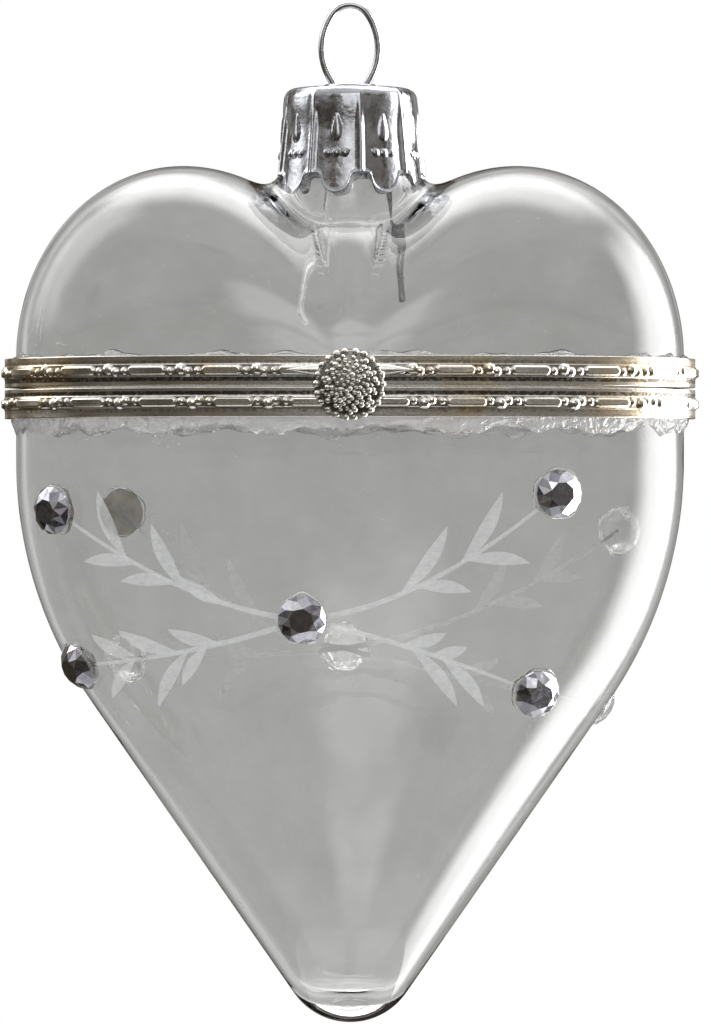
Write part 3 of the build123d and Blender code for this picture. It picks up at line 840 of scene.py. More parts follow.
def band(name, side, phase):
    """Embossed channel band; side 1 stands above the parting plane and -1 below."""
    turns, share = even_turns(BAND_STATIONS, BAND_OUT)
    along = share * MOTIFS
    top = FACE_GAP + BAND_HEIGHT
    wall_top = FACE_GAP + INNER_WALL_HEIGHT
    wall_back = INNER_WALL_OUT - BAND_SHEET
    profile = [  # out, height, tone with painted light, from the top of the face round the channel to its foot; the rim at the top of the face is painted bright
        (FACE_EDGE_OUT - 0.1, top, 0.8),
        (FACE_EDGE_OUT - BAND_SHEET, top - 0.05, 0.6),
        (FACE_EDGE_OUT - BAND_SHEET + 0.05, top - BAND_SHEET - 0.1, 0.2),
        (BAND_OUT - BAND_SHEET, FACE_GAP + BAND_SHEET, 0.1),
        (INNER_WALL_OUT, FACE_GAP + BAND_SHEET, 0.1),
        (INNER_WALL_OUT, wall_top - 0.08, 0.4),
        (INNER_WALL_OUT - 0.1, wall_top, 0.6),
        (wall_back + 0.1, wall_top, 0.6),
        (wall_back, wall_top - 0.08, 0.5),
        (wall_back, FACE_GAP + 0.12, 0.5),
        (wall_back + 0.12, FACE_GAP, 0.6),
        (FACE_EDGE_OUT + 0.2, FACE_GAP, 0.6),
    ]
    face = [(height, *band_out(height + 0 * along, along, phase))
            for height in np.linspace(FACE_GAP + 0.04, top - 0.02, FACE_POINTS)]
    face += [(height, out, tone_and_painted_light + 0 * along) for out, height, tone_and_painted_light in profile]
    rings = [waist_ring(out, PARTING_Z + side * height, turns) for height, out, _ in face]
    return skin(name, rings, values=np.concatenate([tone_and_painted_light for _, _, tone_and_painted_light in face]))


place(band("lid_band", 1, 0.15), "lid", "bezel_nickel", ["lid_bezel"], nickel)
place(band("base_band", -1, 0.0), "base", "bezel_nickel", ["base_bezel"], nickel)


# Cement


def lumps(turns, offset, coarse, fine):
    """Uneven outline from sines of unrelated pitch, about -1 to 1."""
    total = np.sin(coarse * turns + offset) + 0.8 * np.sin((coarse * 1.7 // 1) * turns + 2 * offset)
    return (total + 0.7 * np.sin(fine * turns - offset) + 0.5 * np.sin((fine * 2 + 3) * turns + 3)) / 3


def shell_ring(side, height, out, turns):
    """Ring on a shell at heights from the parting plane, moved out; side 1 is the upper shell."""
    level = np.maximum(height, 0)
    if side < 0:
        width = np.array([base_half_width(drop) for drop in level])
        depth = HALF_DEPTH * np.sqrt(1 - (level / BASE_DROP) ** 2)
    else:
        above = np.maximum(level - LOBE_Z, 0)
        width = LOBE_X + LOBE_RADIUS_X * np.sqrt(1 - (above / LOBE_RADIUS_Z) ** 2)
        depth = HALF_DEPTH * np.sqrt(1 - (level / SADDLE_HEIGHT) ** 2)
    return oval_ring(width + out, depth + out, PARTING_Z + side * height, turns)


def cement(name, side, toe):
    """Bead of clear cement squeezed out between band and glass, with a ragged toe."""
    turns, _ = even_turns(CEMENT_STATIONS, 0.3)
    reach = toe * (0.84 + 0.15 * lumps(turns, side, 13, 31))
    shares = np.linspace(0, 1, CEMENT_POINTS)
    rings = []
    for number, share in enumerate(shares):
        ripple = lumps(turns, number * 0.35, 23, 47) * math.sin(math.pi * share)
        out = CEMENT_SKIN + np.clip(CEMENT_BULGE * (1 - share**2) + CEMENT_RIPPLE * ripple, 0, CEMENT_MOST)
        rings.append(shell_ring(side, CEMENT_HEEL + (reach - CEMENT_HEEL) * share, out, turns))
    for share in shares[::-6]:
        rings.append(shell_ring(side, CEMENT_HEEL + (reach - CEMENT_HEEL) * share, CEMENT_FOOT, turns))
    return skin(name, rings)


place(cement("base_cement_bead", -1, BASE_CEMENT_TOE), "base", "clear_cement", ["base_cement"], cement_clear)
place(cement("lid_cement_bead", 1, LID_CEMENT_TOE), "lid", "clear_cement", ["lid_cement"], cement_clear)


# Clasp


def bead_into(work, layer, centre, radius, tone_and_painted_light):
    """Adds one slightly uneven grain to a bmesh."""
    made = bmesh.ops.create_icosphere(work, subdivisions=2, radius=radius)
    stretch = [1 + chance.uniform(-0.14, 0.14) for _ in range(3)]
    tone_and_painted_light *= chance.uniform(0.55, 1.0)
    for vertex in made["verts"]:
        out = -vertex.co.y / radius
        vertex.co = Vector([axis * size for axis, size in zip(vertex.co, stretch)]) + Vector(centre)
        # Painted highlight: each grain is lighter towards its front and darker on its sides
        vertex[layer] = tone_and_painted_light * (0.35 + 0.65 * max(out, 0))


def button_face(radius):
    """How far the button's face stands at a radius: a low dome, falling to the rim."""
    share = min(radius / (button_radius - RIM_BEAD_RADIUS), 1)
    return button_low[1] + BUTTON_SINK + BUTTON_DOME * share**2


def on_button(radius, turn, y):
    return (radius * math.cos(turn), y, button_z + radius * math.sin(turn))


def clasp_button():
    """Cupped button with grains in a spiral over its face and a ring round its rim."""
    work = bmesh.new()
    layer = work.verts.layers.float.new("relief")
    inner = button_radius - RIM_BEAD_RADIUS * 1.1
    back = button_high[1]
    rings = [(0.6, -0.1), (1.2, -0.06), (1.8, 0), (2.4, 0), (3.0, 0), (inner, 0)]
    rings = [(radius, button_face(radius) + lift) for radius, lift in rings]
    rings += [(inner + 0.25, button_face(inner) + 0.35), (inner + 0.2, back - 0.1), (inner, back)]
    made = []
    for radius, y in rings:
        turns = [math.tau * side / BUTTON_SIDES for side in range(BUTTON_SIDES)]
        made.append([work.verts.new(on_button(radius, turn, y)) for turn in turns])
    for first, second in zip(made, made[1:]):
        for corners in zip(first, first[1:] + first[:1], second[1:] + second[:1], second):
            work.faces.new(corners)
    work.faces.new(made[0])
    work.faces.new(made[-1])
    golden = math.pi * (3 - math.sqrt(5))
    for number in range(BUTTON_BEADS):
        radius = (button_radius - 2 * RIM_BEAD_RADIUS - 0.1) * math.sqrt((number + 0.5) / BUTTON_BEADS)
        turn = number * golden + chance.uniform(-0.1, 0.1)
        size = BEAD_RADIUS * chance.uniform(0.8, 1.25)
        y = max(button_face(radius) - 0.06, button_low[1] + size * BEAD_ROOM)
        bead_into(work, layer, on_button(radius, turn, y), size, 1.0)
    for number in range(RIM_BEADS):
        turn = math.tau * (number + chance.uniform(-0.12, 0.12)) / RIM_BEADS
        size = RIM_BEAD_RADIUS * chance.uniform(0.88, 1.0)
        radius = button_radius - size * BEAD_ROOM
        y = button_face(radius) + chance.uniform(0, 0.1)
        bead_into(work, layer, on_button(radius, turn, y), size, 0.95)
    return finish_work("clasp_button_grained", work)


def spear_half_height(reach):
    """Half the height of the spear arm at a distance from the middle."""
    if reach <= SPEAR_WAIST:
        return SPEAR_HALF_HEIGHT
    share = (reach - SPEAR_WAIST) / (spear_reach - SPEAR_WAIST)
    return SPEAR_HALF_HEIGHT * (1 - share**1.5)


def clasp_plate():
    """Two spear arms with a ridge along each, bent to the band they lie on."""
    middle_z = PARTING_Z + LINE_MIDDLE
    rings = []
    values = []
    for x in np.linspace(-spear_reach, spear_reach, SPEAR_STATIONS)[1:-1]:
        half = spear_half_height(abs(x))
        bend = math.sqrt(1 - (x / (HALF_WIDTH + LINE_OUT)) ** 2)
        ridge = -(HALF_DEPTH + LINE_OUT + SPEAR_RIDGE_OUT) * bend
        edge = -(HALF_DEPTH + LINE_OUT + SPEAR_EDGE_OUT) * bend
        back = -(HALF_DEPTH + BAND_OUT + SPEAR_BACK_OUT) * bend
        slope = (ridge + edge) / 2 - 0.04
        section = [(ridge, 0), (slope, 0.55), (edge, 1), (back, 0.9)]
        section += [(y, -share) for y, share in section[:0:-1]]
        rings.append([(x, y, middle_z + half * share) for y, share in section])
        # Painted light: lightest along the front ridge, darker down the slopes to the edges, darkest on the
        # back
        values += [1.0, 0.75, 0.35, 0, 0, 0.35, 0.75]
    tips = [(side * spear_reach, rings[0][2][1], middle_z) for side in (-1, 1)]
    return skin("clasp_spears", rings, looped=False, poles=tips, values=values + [0.6, 0.6])


def clasp_catch():
    """Ball of the catch on its short neck."""
    centre_z = (catch_high[2] + catch_low[2]) / 2
    radius = (catch_high[2] - catch_low[2]) / 2
    depth = catch_high[1] - catch_low[1]
    profile = [(radius * 0.82, 0), (radius * 0.8, 0.2), (radius * 0.98, 0.45)]
    profile += [(radius * math.cos(a), 0.45 + 0.55 * math.sin(a)) for a in np.linspace(0.1, 1.35, 8)]
    turns = np.linspace(0, math.tau, 32, endpoint=False)
    rings = []
    for size, share in profile:
        y = catch_high[1] - depth * share
        rings.append([(size * math.cos(t), y, centre_z + size * math.sin(t)) for t in turns])
    poles = ((0, catch_high[1], centre_z), (0, catch_low[1], centre_z))
    return skin("clasp_catch_ball", rings, looped=False, poles=poles)


place(clasp_button(), "lid", "clasp_silver", ["clasp_button"], silver_clasp)
place(clasp_plate(), "lid", "clasp_silver", ["clasp_plate"], silver_clasp)
place(clasp_catch(), "base", "clasp_silver", ["clasp_catch"], hinge_metal)


# Hinge

HINGE = {"hinge_base_knuckles": hinge_metal, "hinge_lid_knuckles": hinge_metal, "hinge_pin": pin_metal}
for node, metal in HINGE.items():
    slots = frame["nodes"][node].data.materials
    slots.clear()
    slots.append(metal)


# Cap


def cap_profile(inset):
    """(radius, z) down the outside of the cap's crown, from the boss to the skirt's top."""
    boss_z = cap_top + BOSS_HEIGHT - inset
    bend_r = BOSS_RADIUS - BOSS_ROUND - inset
    points = [(r, boss_z) for r in (0.02, *np.linspace(0.4, bend_r - 0.05, 12))]
    for angle in np.linspace(0, math.pi / 2, 7)[1:]:
        points.append((bend_r + BOSS_ROUND * math.sin(angle), boss_z - BOSS_ROUND * (1 - math.cos(angle))))
    points += [(r, cap_top - inset) for r in np.linspace(BOSS_RADIUS + 0.1, CAP_RADIUS_TOP - CAP_ROUND, 8)]
    bend = CAP_ROUND - inset
    for angle in np.linspace(0, math.pi / 2, 14)[1:]:
        radius = CAP_RADIUS_TOP - CAP_ROUND + bend * math.sin(angle)
        points.append((radius, cap_top - CAP_ROUND + bend * math.cos(angle)))
    return points


def panel_place(turns):
    """Place across a panel, -1 at one crease and 1 at the next."""
    return ((turns - TAB_TURN) * CAP_TABS / math.tau % 1) * 2 - 1


def skirt_edge(across):
    """Height of the skirt's lower edge: a rounded tab in the middle of each panel."""
    share = np.abs(across) / TAB_SHARE
    tab = 1 - np.sqrt(np.clip(1 - share**2, 0, 1))
    return skirt_z + TAB_HEIGHT * np.where(share < 1, tab * 0.85, 1 - 0.15 * smoothstep(1.3, 1.0, share))


def panel_relief(across, height):
    """Pressed ornament of a panel: a row of pearls low down and a long drop above it."""
    wide = across * PANEL_HALF_WIDTH
    pearls = sum(dome_relief(np.hypot(wide - x, height - PEARL_Z), PEARL_RADIUS) for x in PEARL_PLACES)
    drop_width = DROP_RADIUS * (1 - 0.5 * (height - DROP_Z) / DROP_HALF)
    drop = dome_relief(np.hypot(wide / np.maximum(drop_width, 0.2), (height - DROP_Z) / DROP_HALF), 1.0)
    return pearls + drop


def saddle_clearance(turns):
    """Lowest the skirt may reach at each turn without resting on the glass."""
    radius = CAP_RADIUS_SKIRT
    heights = [lid_height(radius * math.cos(t), radius * math.sin(t), -CAP_CLEARANCE) for t in turns]
    return PARTING_Z + np.array(heights)


def cap_rings(inset, turns):
    """Rings from the boss out over the crown and down the skirt, sunk between the creases."""
    across = panel_place(turns)
    flat = 1 - np.exp(-(((1 - np.abs(across)) / CREASE_WIDTH) ** 2))
    edge = np.maximum(skirt_edge(across), saddle_clearance(turns))
    shoulder_z = cap_top - CAP_ROUND
    rings = []
    for radius, z in cap_profile(inset):
        out = radius - CROWN_SINK * smoothstep(CAP_RADIUS_TOP - CAP_ROUND, CAP_RADIUS_TOP, radius) * flat
        rings.append(oval_ring(out, out, z, turns))
    for share in np.linspace(0, 1, CAP_ROWS)[1:]:
        z = shoulder_z + (edge - shoulder_z) * share
        down = (shoulder_z - z) / (shoulder_z - skirt_z)
        radius = CAP_RADIUS_TOP + (CAP_RADIUS_SKIRT - CAP_RADIUS_TOP) * down - inset
        sunk = CROWN_SINK + SKIRT_SINK * smoothstep(0.02, 0.35, down)
        lip = np.exp(-(((z - edge) / TAB_LIP_WIDTH) ** 2))
        out = radius + PANEL_RISE * panel_relief(across, z - skirt_z) - (sunk - TAB_LIP * lip) * flat
        rings.append(oval_ring(out, out, z, turns))
    return rings


def ornament_cap():
    """Pressed cap with two round holes cut through it for the wire."""
    turns = np.linspace(0, math.tau, CAP_COLUMNS, endpoint=False)
    rings = cap_rings(0, turns) + cap_rings(CAP_SHEET, turns)[::-1]
    poles = ((0, 0, cap_top + BOSS_HEIGHT), (0, 0, cap_top + BOSS_HEIGHT - CAP_SHEET))
    cap = skin("ornament_cap_pressed", rings, looped=False, poles=poles)
    turns = np.linspace(0, math.tau, 28, endpoint=False)
    for hole_x in (-HOLE_X, HOLE_X):
        ends = [(hole_x, 0, z) for z in (cap_top - 1, cap_top + 1)]
        rings = [oval_ring(WIRE_HOLE_RADIUS, WIRE_HOLE_RADIUS, 0, turns) + end for end in ends]
        cutter = skin("cutter", rings, looped=False, poles=ends)
        cut = cap.modifiers.new("hole", "BOOLEAN")
        cut.operation = "DIFFERENCE"
        cut.solver = "EXACT"
        cut.object = cutter
        evaluated = cap.evaluated_get(bpy.context.evaluated_depsgraph_get())
        cut_mesh = bpy.data.meshes.new_from_object(evaluated)
        cap.modifiers.clear()
        cap.data = cut_mesh
        bpy.data.objects.remove(cutter)
    return cap


place(ornament_cap(), "cap", "cap_silver", ["ornament_cap"], silver_cap)


# Hanging wire


def arc_through(start, middle, end, count):
    """Points along the circular arc through three points of the XZ plane."""
    (ax, az), (bx, bz), (cx, cz) = start, middle, end
    turn = 2 * (ax * (bz - cz) + bx * (cz - az) + cx * (az - bz))
    a2, b2, c2 = ax**2 + az**2, bx**2 + bz**2, cx**2 + cz**2
    centre_x = (a2 * (bz - cz) + b2 * (cz - az) + c2 * (az - bz)) / turn
    centre_z = (a2 * (cx - bx) + b2 * (ax - cx) + c2 * (bx - ax)) / turn
    radius = math.hypot(ax - centre_x, az - centre_z)
    first, mid, last = (math.atan2(z - centre_z, x - centre_x) for x, z in (start, middle, end))
    to_mid = (mid - first + math.pi) % math.tau - math.pi
    to_last = to_mid + (last - mid + math.pi) % math.tau - math.pi
    return [
        (centre_x + radius * math.cos(first + to_last * s), centre_z + radius * math.sin(first + to_last * s))
        for s in np.linspace(0, 1, count)
    ]


def bent(points, radius, count=9):
    """A run of straight lengths with its corners rounded."""
    path = [np.array(points[0], float)]
    for before, corner, after in zip(points, points[1:], points[2:]):
        before, corner, after = (np.array(p, float) for p in (before, corner, after))
        back = before - corner
        ahead = after - corner
        cut_back = min(radius, np.linalg.norm(back) * 0.45)
        cut_ahead = min(radius, np.linalg.norm(ahead) * 0.45)
        first = corner + back / np.linalg.norm(back) * cut_back
        last = corner + ahead / np.linalg.norm(ahead) * cut_ahead
        for s in np.linspace(0, 1, count):
            path.append(first * (1 - s) ** 2 + corner * 2 * s * (1 - s) + last * s**2)
    path.append(np.array(points[-1], float))
    return path


def hanger_wire():
    """Ring of three arcs on two bent legs, in one piece of wire with rounded ends."""
    ring_top = WIRE_RADIUS - cap_top
    flare = RING_HALF_WIDTH - RING_FOOT_X
    climb = RING_WIDEST - RING_FOOT_Z
    side_radius = (flare**2 + climb**2) / (2 * flare)
    side_centre = side_radius - RING_HALF_WIDTH
    crown = ring_top - RING_WIDEST
    crown_radius = (side_radius**2 - side_centre**2 - crown**2) / (2 * (side_radius - crown))
    reach = side_radius / (side_radius - crown_radius)
    bend_x = RING_FOOT_X - (RING_FOOT_Z - BEND_Z) * climb / (side_radius - flare)
    shoulder = (side_centre * (1 - reach), RING_WIDEST + (crown - crown_radius) * reach)
    left_foot, right_foot = ((side * RING_FOOT_X, RING_FOOT_Z) for side in (-1, 1))
    left_side, right_side = ((side * RING_HALF_WIDTH, RING_WIDEST) for side in (-1, 1))
    right_shoulder = (-shoulder[0], shoulder[1])
    path = bent([*LEFT_LEG, (-bend_x, BEND_Z), left_foot], BEND_RADIUS)
    path += arc_through(left_foot, left_side, shoulder, ARC_POINTS)[1:]
    path += arc_through(shoulder, (0, ring_top), right_shoulder, ARC_POINTS)[1:]
    path += arc_through(right_shoulder, right_side, right_foot, ARC_POINTS)[1:]
    path += bent([right_foot, (bend_x, BEND_Z), *RIGHT_LEG], BEND_RADIUS)[1:]
    flat = np.array(path, float)
    steps = np.linalg.norm(np.diff(flat, axis=0), axis=1)
    flat = flat[np.concatenate([[True], steps > LEAST_STEP])]
    way = np.concatenate([[0], np.cumsum(np.linalg.norm(np.diff(flat, axis=0), axis=1))])
    even = np.linspace(0, way[-1], WIRE_RINGS)
    x = np.interp(even, way, flat[:, 0])
    z = np.interp(even, way, flat[:, 1]) + cap_top
    points = np.stack([x, np.zeros_like(x), z], -1)
    from_end = np.minimum(even, way[-1] - even)
    radii = WIRE_RADIUS * np.sqrt(np.clip(1 - (1 - np.clip(from_end / WIRE_END, 0, 1)) ** 2, 0.02, 1))
    rings = tube_rings(points, radii)
    # Painted light and shade: the left leg painted bright, the right leg painted dark, the ring mid-tone
    tone_and_painted_light = np.where(z > cap_top, RING_SHINE, np.where(x < 0, LEFT_LEG_PAINTED_LIGHT, RIGHT_LEG_PAINTED_SHADE))
    values = np.append(np.repeat(tone_and_painted_light, len(rings[0])), (tone_and_painted_light[0], tone_and_painted_light[-1]))
    return skin("hanger_wire_sprung", rings, looped=False, poles=(points[0], points[-1]), values=values)


place(hanger_wire(), "hanger", "wire_steel", ["hanger_wire"], spring_steel)


# Stones and glue


def surface_point(x, drop, side, out=0.0):
    """Point on the lower glass, moved out along its normal, and that normal."""
    width = base_half_width(drop)
    depth = base_half_depth(drop)
    y = side * depth * math.sqrt(max(1 - (x / width) ** 2, 0))
    width_slope = (base_half_width(drop + SLOPE_STEP) - width) / SLOPE_STEP
    depth_slope = (base_half_depth(drop + SLOPE_STEP) - depth) / SLOPE_STEP
    rise = x**2 * width_slope / width**3 + y**2 * depth_slope / depth**3
    normal = Vector((x / width**2, y / depth**2, rise)).normalized()
    return Vector((x, y, PARTING_Z - drop)) + normal * out, normal


def outside_glass(point):
    """Below 1 inside the lower glass and above 1 outside."""
    drop = PARTING_Z - point[2]
    return (point[0] / base_half_width(drop)) ** 2 + (point[1] / base_half_depth(drop)) ** 2


def seat(x, drop, side):
    """Centre, normal and two directions across for a stone's seat."""
    centre, normal = surface_point(x, drop, side)
    level = Vector((0, 0, 1)).cross(normal).normalized()
    return centre, normal, level, normal.cross(level)


def glass_depth(point, normal):
    """How far below a point of the seat's plane the glass is, along the normal."""
    near, far = -0.05, 1.6
    for _ in range(16):
        middle = (near + far) / 2
        inside = outside_glass(point - normal * middle) < 1
        near, far = (near, middle) if inside else (middle, far)
    return near


def stone(name, x, drop, side):
    """Rhinestone with star, kite and girdle facets over a flat foiled back."""
    centre, normal, level, upward = seat(x, drop, side)
    spin = chance.uniform(0, math.tau)
    work = bmesh.new()
    layer = work.verts.layers.float.new("relief")

    def ring(height, radius, offset, count):
        turns = [spin + math.tau * (step + offset) / count for step in range(count)]
        rays = [level * math.cos(turn) + upward * math.sin(turn) for turn in turns]
        return [centre + normal * height + ray * radius for ray in rays]

    def facet(points, tone, index=0):
        corners = [work.verts.new(point) for point in points]
        for corner in corners:
            corner[layer] = tone
        work.faces.new(corners).material_index = index

    top = PAD_THICKNESS + STONE_GIRDLE
    n = STONE_FACETS
    back = ring(PAD_THICKNESS, STONE_RADIUS, 0, 2 * n)
    girdle = ring(top, STONE_RADIUS, 0, 2 * n)
    kite = ring(top + STONE_CROWN * KITE_RISE, STONE_RADIUS * KITE_REACH, 0.5, n)
    table = ring(top + STONE_CROWN, STONE_TABLE, 0, n)
    # Facet tones, several chosen at random, are painted reflections: each facet lighter or darker as if
    # mirroring something different
    facet(table, 0.3)
    facet(back[::-1], 0.5, 1)
    for step in range(n):
        after = (step + 1) % n
        edge = 2 * step
        facet((table[step], kite[step], table[after]), chance.choice((0.25, 0.4, 0.6, 0.9)))
        facet((table[step], kite[step - 1], girdle[edge], kite[step]), chance.choice((0.2, 0.35, 0.55, 0.8)))
        facet((kite[step], girdle[edge], girdle[edge + 1]), chance.choice((0.1, 0.4, 0.7)))
        facet((kite[step], girdle[edge + 1], girdle[2 * after]), chance.choice((0.1, 0.4, 0.7)))
    for step in range(2 * n):
        after = (step + 1) % (2 * n)
        facet((back[step], back[after], girdle[after], girdle[step]), 0.5)
    materials = [crystal, foil_back]
    if name in CLEAR_STONES:
        bmesh.ops.remove_doubles(work, verts=work.verts, dist=1e-4)
        materials = [bare_crystal, bare_crystal]
    place(finish_work(f"{name}_crystal", work, smooth=False), "base", "rhinestone", [name], *materials)


def glue_pad(name, x, drop, side):
    """Glue under a stone: a lumpy round that rises to meet the stone's edge."""
    centre, normal, level, upward = seat(x, drop, side)
    turns = np.linspace(0, math.tau, 48, endpoint=False)
    bias = chance.uniform(0, math.tau)
    outline = PAD_RADIUS * (0.94 + 0.05 * np.sin(3 * turns + bias) + 0.03 * np.sin(7 * turns - bias))
    top = []
    under = []
    for share, lift in PAD_PROFILE + [(1.0, None)]:
        rays = [level * math.cos(turn) + upward * math.sin(turn) for turn in turns]
        flats = [centre + ray * float(edge * share) for ray, edge in zip(rays, outline)]
        depths = [glass_depth(flat, normal) for flat in flats]
        top.append([
            flat + normal * (PAD_EDGE - depth if lift is None else lift) for flat, depth in zip(flats, depths)
        ])
        under.append([flat - normal * (depth - PAD_GAP) for flat, depth in zip(flats, depths)])
    poles = (centre + normal * PAD_FLOOR, centre + normal * PAD_GAP)
    piece = skin(f"{name}_glue_pad", top + under[::-1], looped=False, poles=poles)
    place(piece, "base", "clear_cement", [f"{name}_glue"], glue_clear)


for side, side_name, places in ((-1, "front", FRONT_STONES), (1, "back", BACK_STONES)):
    for number, (x, drop) in enumerate(places, start=1):
        stone(f"{side_name}_stone_{number}", x, drop, side)
        glue_pad(f"{side_name}_stone_{number}", x, drop, side)


# Engraving


def stroke(work, path, widths, side):
    """Adds one ground stroke, a strip that follows the glass, to a bmesh."""
    path = np.asarray(path, float)
    along = np.gradient(path, axis=0)
    along /= np.linalg.norm(along, axis=1)[:, None]
    across = np.stack([-along[:, 1], along[:, 0]], -1)
    rows = []
    for point, normal, width in zip(path, across, widths):
        row = []
        for share in (-1, -0.5, 0, 0.5, 1):
            x, drop = point + normal * width / 2 * share
            out = ENGRAVED_OUT * (1 if abs(share) < 1 else ENGRAVED_EDGE)
            row.append(work.verts.new(surface_point(float(x), float(drop), side, out)[0]))
        rows.append(row)
    for first, second in zip(rows, rows[1:]):
        for a, b, c, d in zip(first, first[1:], second[1:], second):
            work.faces.new((a, b, c, d))


def stem_path(start, end, sag, count=48):
    """Curve from stone to stone, bowed downwards by sag."""
    start = np.array(start, float)
    end = np.array(end, float)
    knee = start + (end - start) * 0.45 + np.array((0, 2 * sag))
    s = np.linspace(0.0, 1.0, count)[:, None]
    return start * (1 - s) ** 2 + knee * 2 * s * (1 - s) + end * s**2


def leaf_path(start, ahead, length, angle):
    """Points along a leaf's middle; the sign of the angle gives its side of the stem."""
    turn = math.radians(angle)
    lean = np.array((
        ahead[0] * math.cos(turn) - ahead[1] * math.sin(turn),
        ahead[0] * math.sin(turn) + ahead[1] * math.cos(turn),
    ))
    curl = np.array((lean[1], -lean[0])) * math.copysign(LEAF_CURL * length, angle)
    s = LEAF_STEPS[:, None]
    return start + lean * length * s + curl * s * (1 - s) * 4


def engraving(name, side, places, sprays, material):
    """Stems from the middle stone to outer ones, with pointed leaves along them."""
    work = bmesh.new()
    for target, sag, leaves in sprays:
        path = stem_path(places[2], places[target - 1], sag)
        stroke(work, path, np.linspace(STEM_WIDTH, STEM_WIDTH * STEM_TAPER, len(path)), side)
        heading_x = np.sign(path[-1][0] - path[0][0])
        for share, above, length, angle in leaves:
            spot = int(share * (len(path) - 1))
            ahead = path[spot + 1] - path[spot]
            ahead /= np.linalg.norm(ahead)
            leaf = leaf_path(path[spot], ahead, length, -angle * above * heading_x)
            stroke(work, leaf, LEAF_OUTLINE * (0.8 + 0.03 * length) + 0.04, side)
    place(finish_work(name, work), "base", "clear_glass", [], material)


engraving("front_engraving", -1, FRONT_STONES, FRONT_SPRAYS, frost)
engraving("back_engraving", 1, BACK_STONES, BACK_SPRAYS, frost_behind_painted_lighter)


# Setting

FLOOR_GAP = 0.200
FLOOR_RADIUS = 0.20
CAMERA_DISTANCE = 0.650
FRAME_HEIGHT = 0.1126
FRAME_CENTRE = (0.0006, -0.0554)
SENSOR = 36.0
SOFT_EDGE = 0.3  # share of a softbox over which it fades
WHITE = (1.0, 1.0, 1.0, 1)
PALE_SIDES = (0.62, 0.62, 0.62, 1)


def floor():
    """Round pale floor well below the hanging heart."""
    z = cad_box[0][2] - FLOOR_GAP
    turns = np.linspace(0, math.tau, 96, endpoint=False)
    mesh = bpy.data.meshes.new("floor")
    corners = [(FLOOR_RADIUS * math.cos(t), FLOOR_RADIUS * math.sin(t), z) for t in turns]
    mesh.from_pydata(corners, [], [list(range(len(corners)))])
    piece = bpy.data.objects.new("floor", mesh)
    bpy.context.scene.collection.objects.link(piece)
    mesh.materials.append(floor_material())


def softbox(name, location, size, radiance, through_glass=True):
    """Rectangular light that faces the heart, seen in gloss, and fades out towards its edges."""
    light = bpy.data.lights.new(name, "AREA")
    light.shape = "RECTANGLE"
    light.size, light.size_y = size
    light.energy = radiance * math.pi * size[0] * size[1]
    light.use_nodes = True
    graph = Nodes(light.node_tree)
    spot = graph.add("NewGeometry", "Parametric")
    centred = graph.add("VectorMath", "Vector", {0: spot, 1: (0.5, 0.5, 0)}, operation="SUBTRACT")
    distance = graph.add("VectorMath", "Vector", {0: centred}, operation="ABSOLUTE")
    ways = [graph.part(distance, axis) for axis in "XY"]
    fades = [graph.span(way, 0.5, 0.5 - SOFT_EDGE, steps="SMOOTHSTEP") for way in ways]
    graph.put(light.node_tree.nodes["Emission"].inputs["Strength"], graph.math("MULTIPLY", *fades))
    lamp = bpy.data.objects.new(name, light)
    lamp.location = location
    aim = Vector((0, 0, FRAME_CENTRE[1])) - Vector(location)
    lamp.rotation_euler = aim.to_track_quat("-Z", "Y").to_euler()
    lamp.visible_diffuse = False
    lamp.visible_transmission = through_glass
    bpy.context.scene.collection.objects.link(lamp)


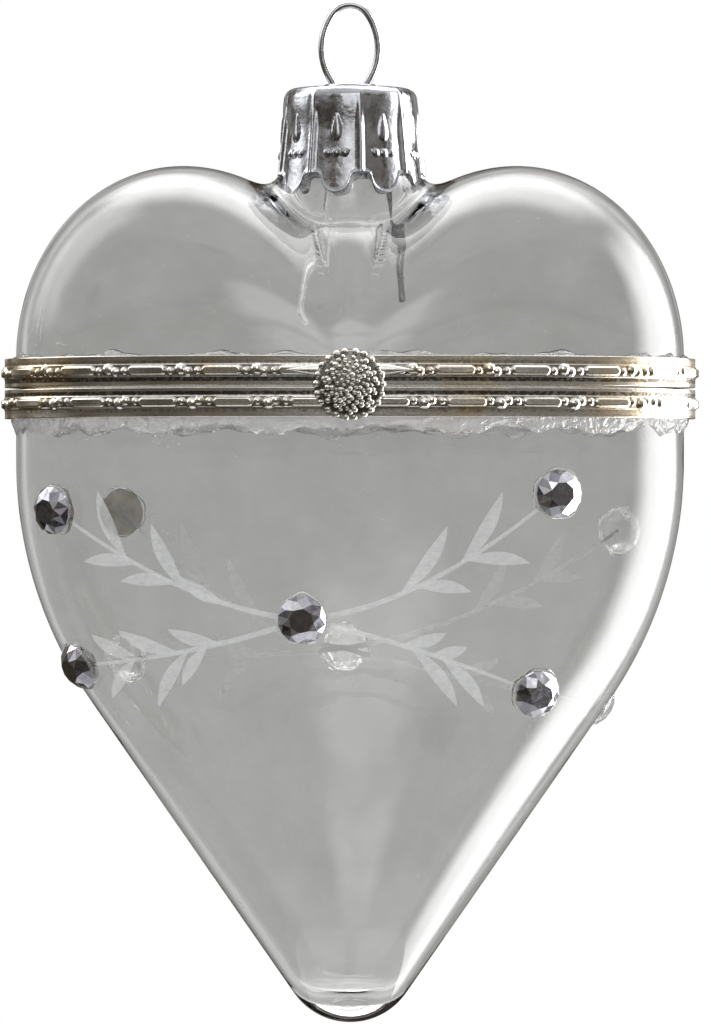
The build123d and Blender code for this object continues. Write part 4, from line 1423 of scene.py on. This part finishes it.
def world():
    """White to the eye and to matt surfaces, grey through glass, and a room of dark and light for gloss."""
    made = bpy.data.worlds.new("studio")
    bpy.context.scene.world = made
    made.use_nodes = True
    graph = Nodes(made.node_tree)
    graph.coords = graph.add("TexCoord", "Generated")
    up = graph.part(graph.coords, "Z")
    away = graph.part(graph.coords, "Y")

    ceiling = graph.ramp(graph.noise(2.6, 2), [
        (0.40, (0.04, 0.04, 0.045)), (0.48, (0.2, 0.16, 0.11)),
        (0.56, (0.4, 0.39, 0.38)), (0.66, (0.85, 0.85, 0.85)),
    ])
    ground = graph.ramp(graph.noise(3.4, 2), [
        (0.42, (0.01, 0.01, 0.012)), (0.52, (0.09, 0.07, 0.04)), (0.66, (0.24, 0.23, 0.21)),
    ])
    room = graph.mix(graph.span(up, -0.12, 0.25), ground, ceiling)
    room = graph.mix(graph.span(up, 0.45, 0.8), room, WHITE)

    lower = graph.ramp(graph.noise(1.6, 2), [(0.3, (0.37, 0.37, 0.365)), (0.7, (0.42, 0.42, 0.415))])
    upper = graph.ramp(graph.noise(1.6, 2), [(0.3, (0.30, 0.30, 0.295)), (0.7, (0.34, 0.34, 0.335))])
    backdrop = graph.mix(graph.span(up, -0.03, 0.06), lower, upper)
    backdrop = graph.mix(graph.span(away, 0.95, 0.8), backdrop, PALE_SIDES)

    seen = graph.mix(graph.add("LightPath", "Is Transmission Ray"), room, backdrop)
    seen = graph.mix(graph.add("LightPath", "Diffuse Depth"), seen, WHITE)
    seen = graph.mix(graph.add("LightPath", "Is Camera Ray"), seen, WHITE)
    graph.put(made.node_tree.nodes["Background"].inputs["Color"], seen)


def camera():
    lens = bpy.data.cameras.new("camera")
    lens.lens = SENSOR * CAMERA_DISTANCE / FRAME_HEIGHT
    lens.sensor_width = SENSOR
    lens.clip_start = 0.01
    holder = bpy.data.objects.new("camera", lens)
    holder.location = (FRAME_CENTRE[0], -CAMERA_DISTANCE, FRAME_CENTRE[1])
    holder.rotation_euler = (math.pi / 2, 0, 0)
    bpy.context.scene.collection.objects.link(holder)
    bpy.context.scene.camera = holder


floor()
world()
camera()
softbox("right_tall", (0.56, 0.12, -0.12), (0.62, 1.50), 12.0, through_glass=False)
softbox("left_window", (-0.50, 0.10, 0.32), (0.46, 0.72), 3.6, through_glass=False)
softbox("overhead", (0.04, 0.20, 0.50), (1.10, 0.56), 3.6)
softbox("front_high", (-0.06, -0.66, 0.30), (0.50, 0.28), 1.7)
softbox("front_low", (-0.06, -0.90, 0.16), (0.48, 0.24), 1.5)

scene = bpy.context.scene
scene.view_settings.view_transform = "Standard"
scene.cycles.use_denoising = True
scene.cycles.max_bounces = 24
scene.cycles.transmission_bounces = 24
scene.cycles.transparent_max_bounces = 16
scene.cycles.glossy_bounces = 8
scene.cycles.caustics_reflective = False
scene.cycles.caustics_refractive = True
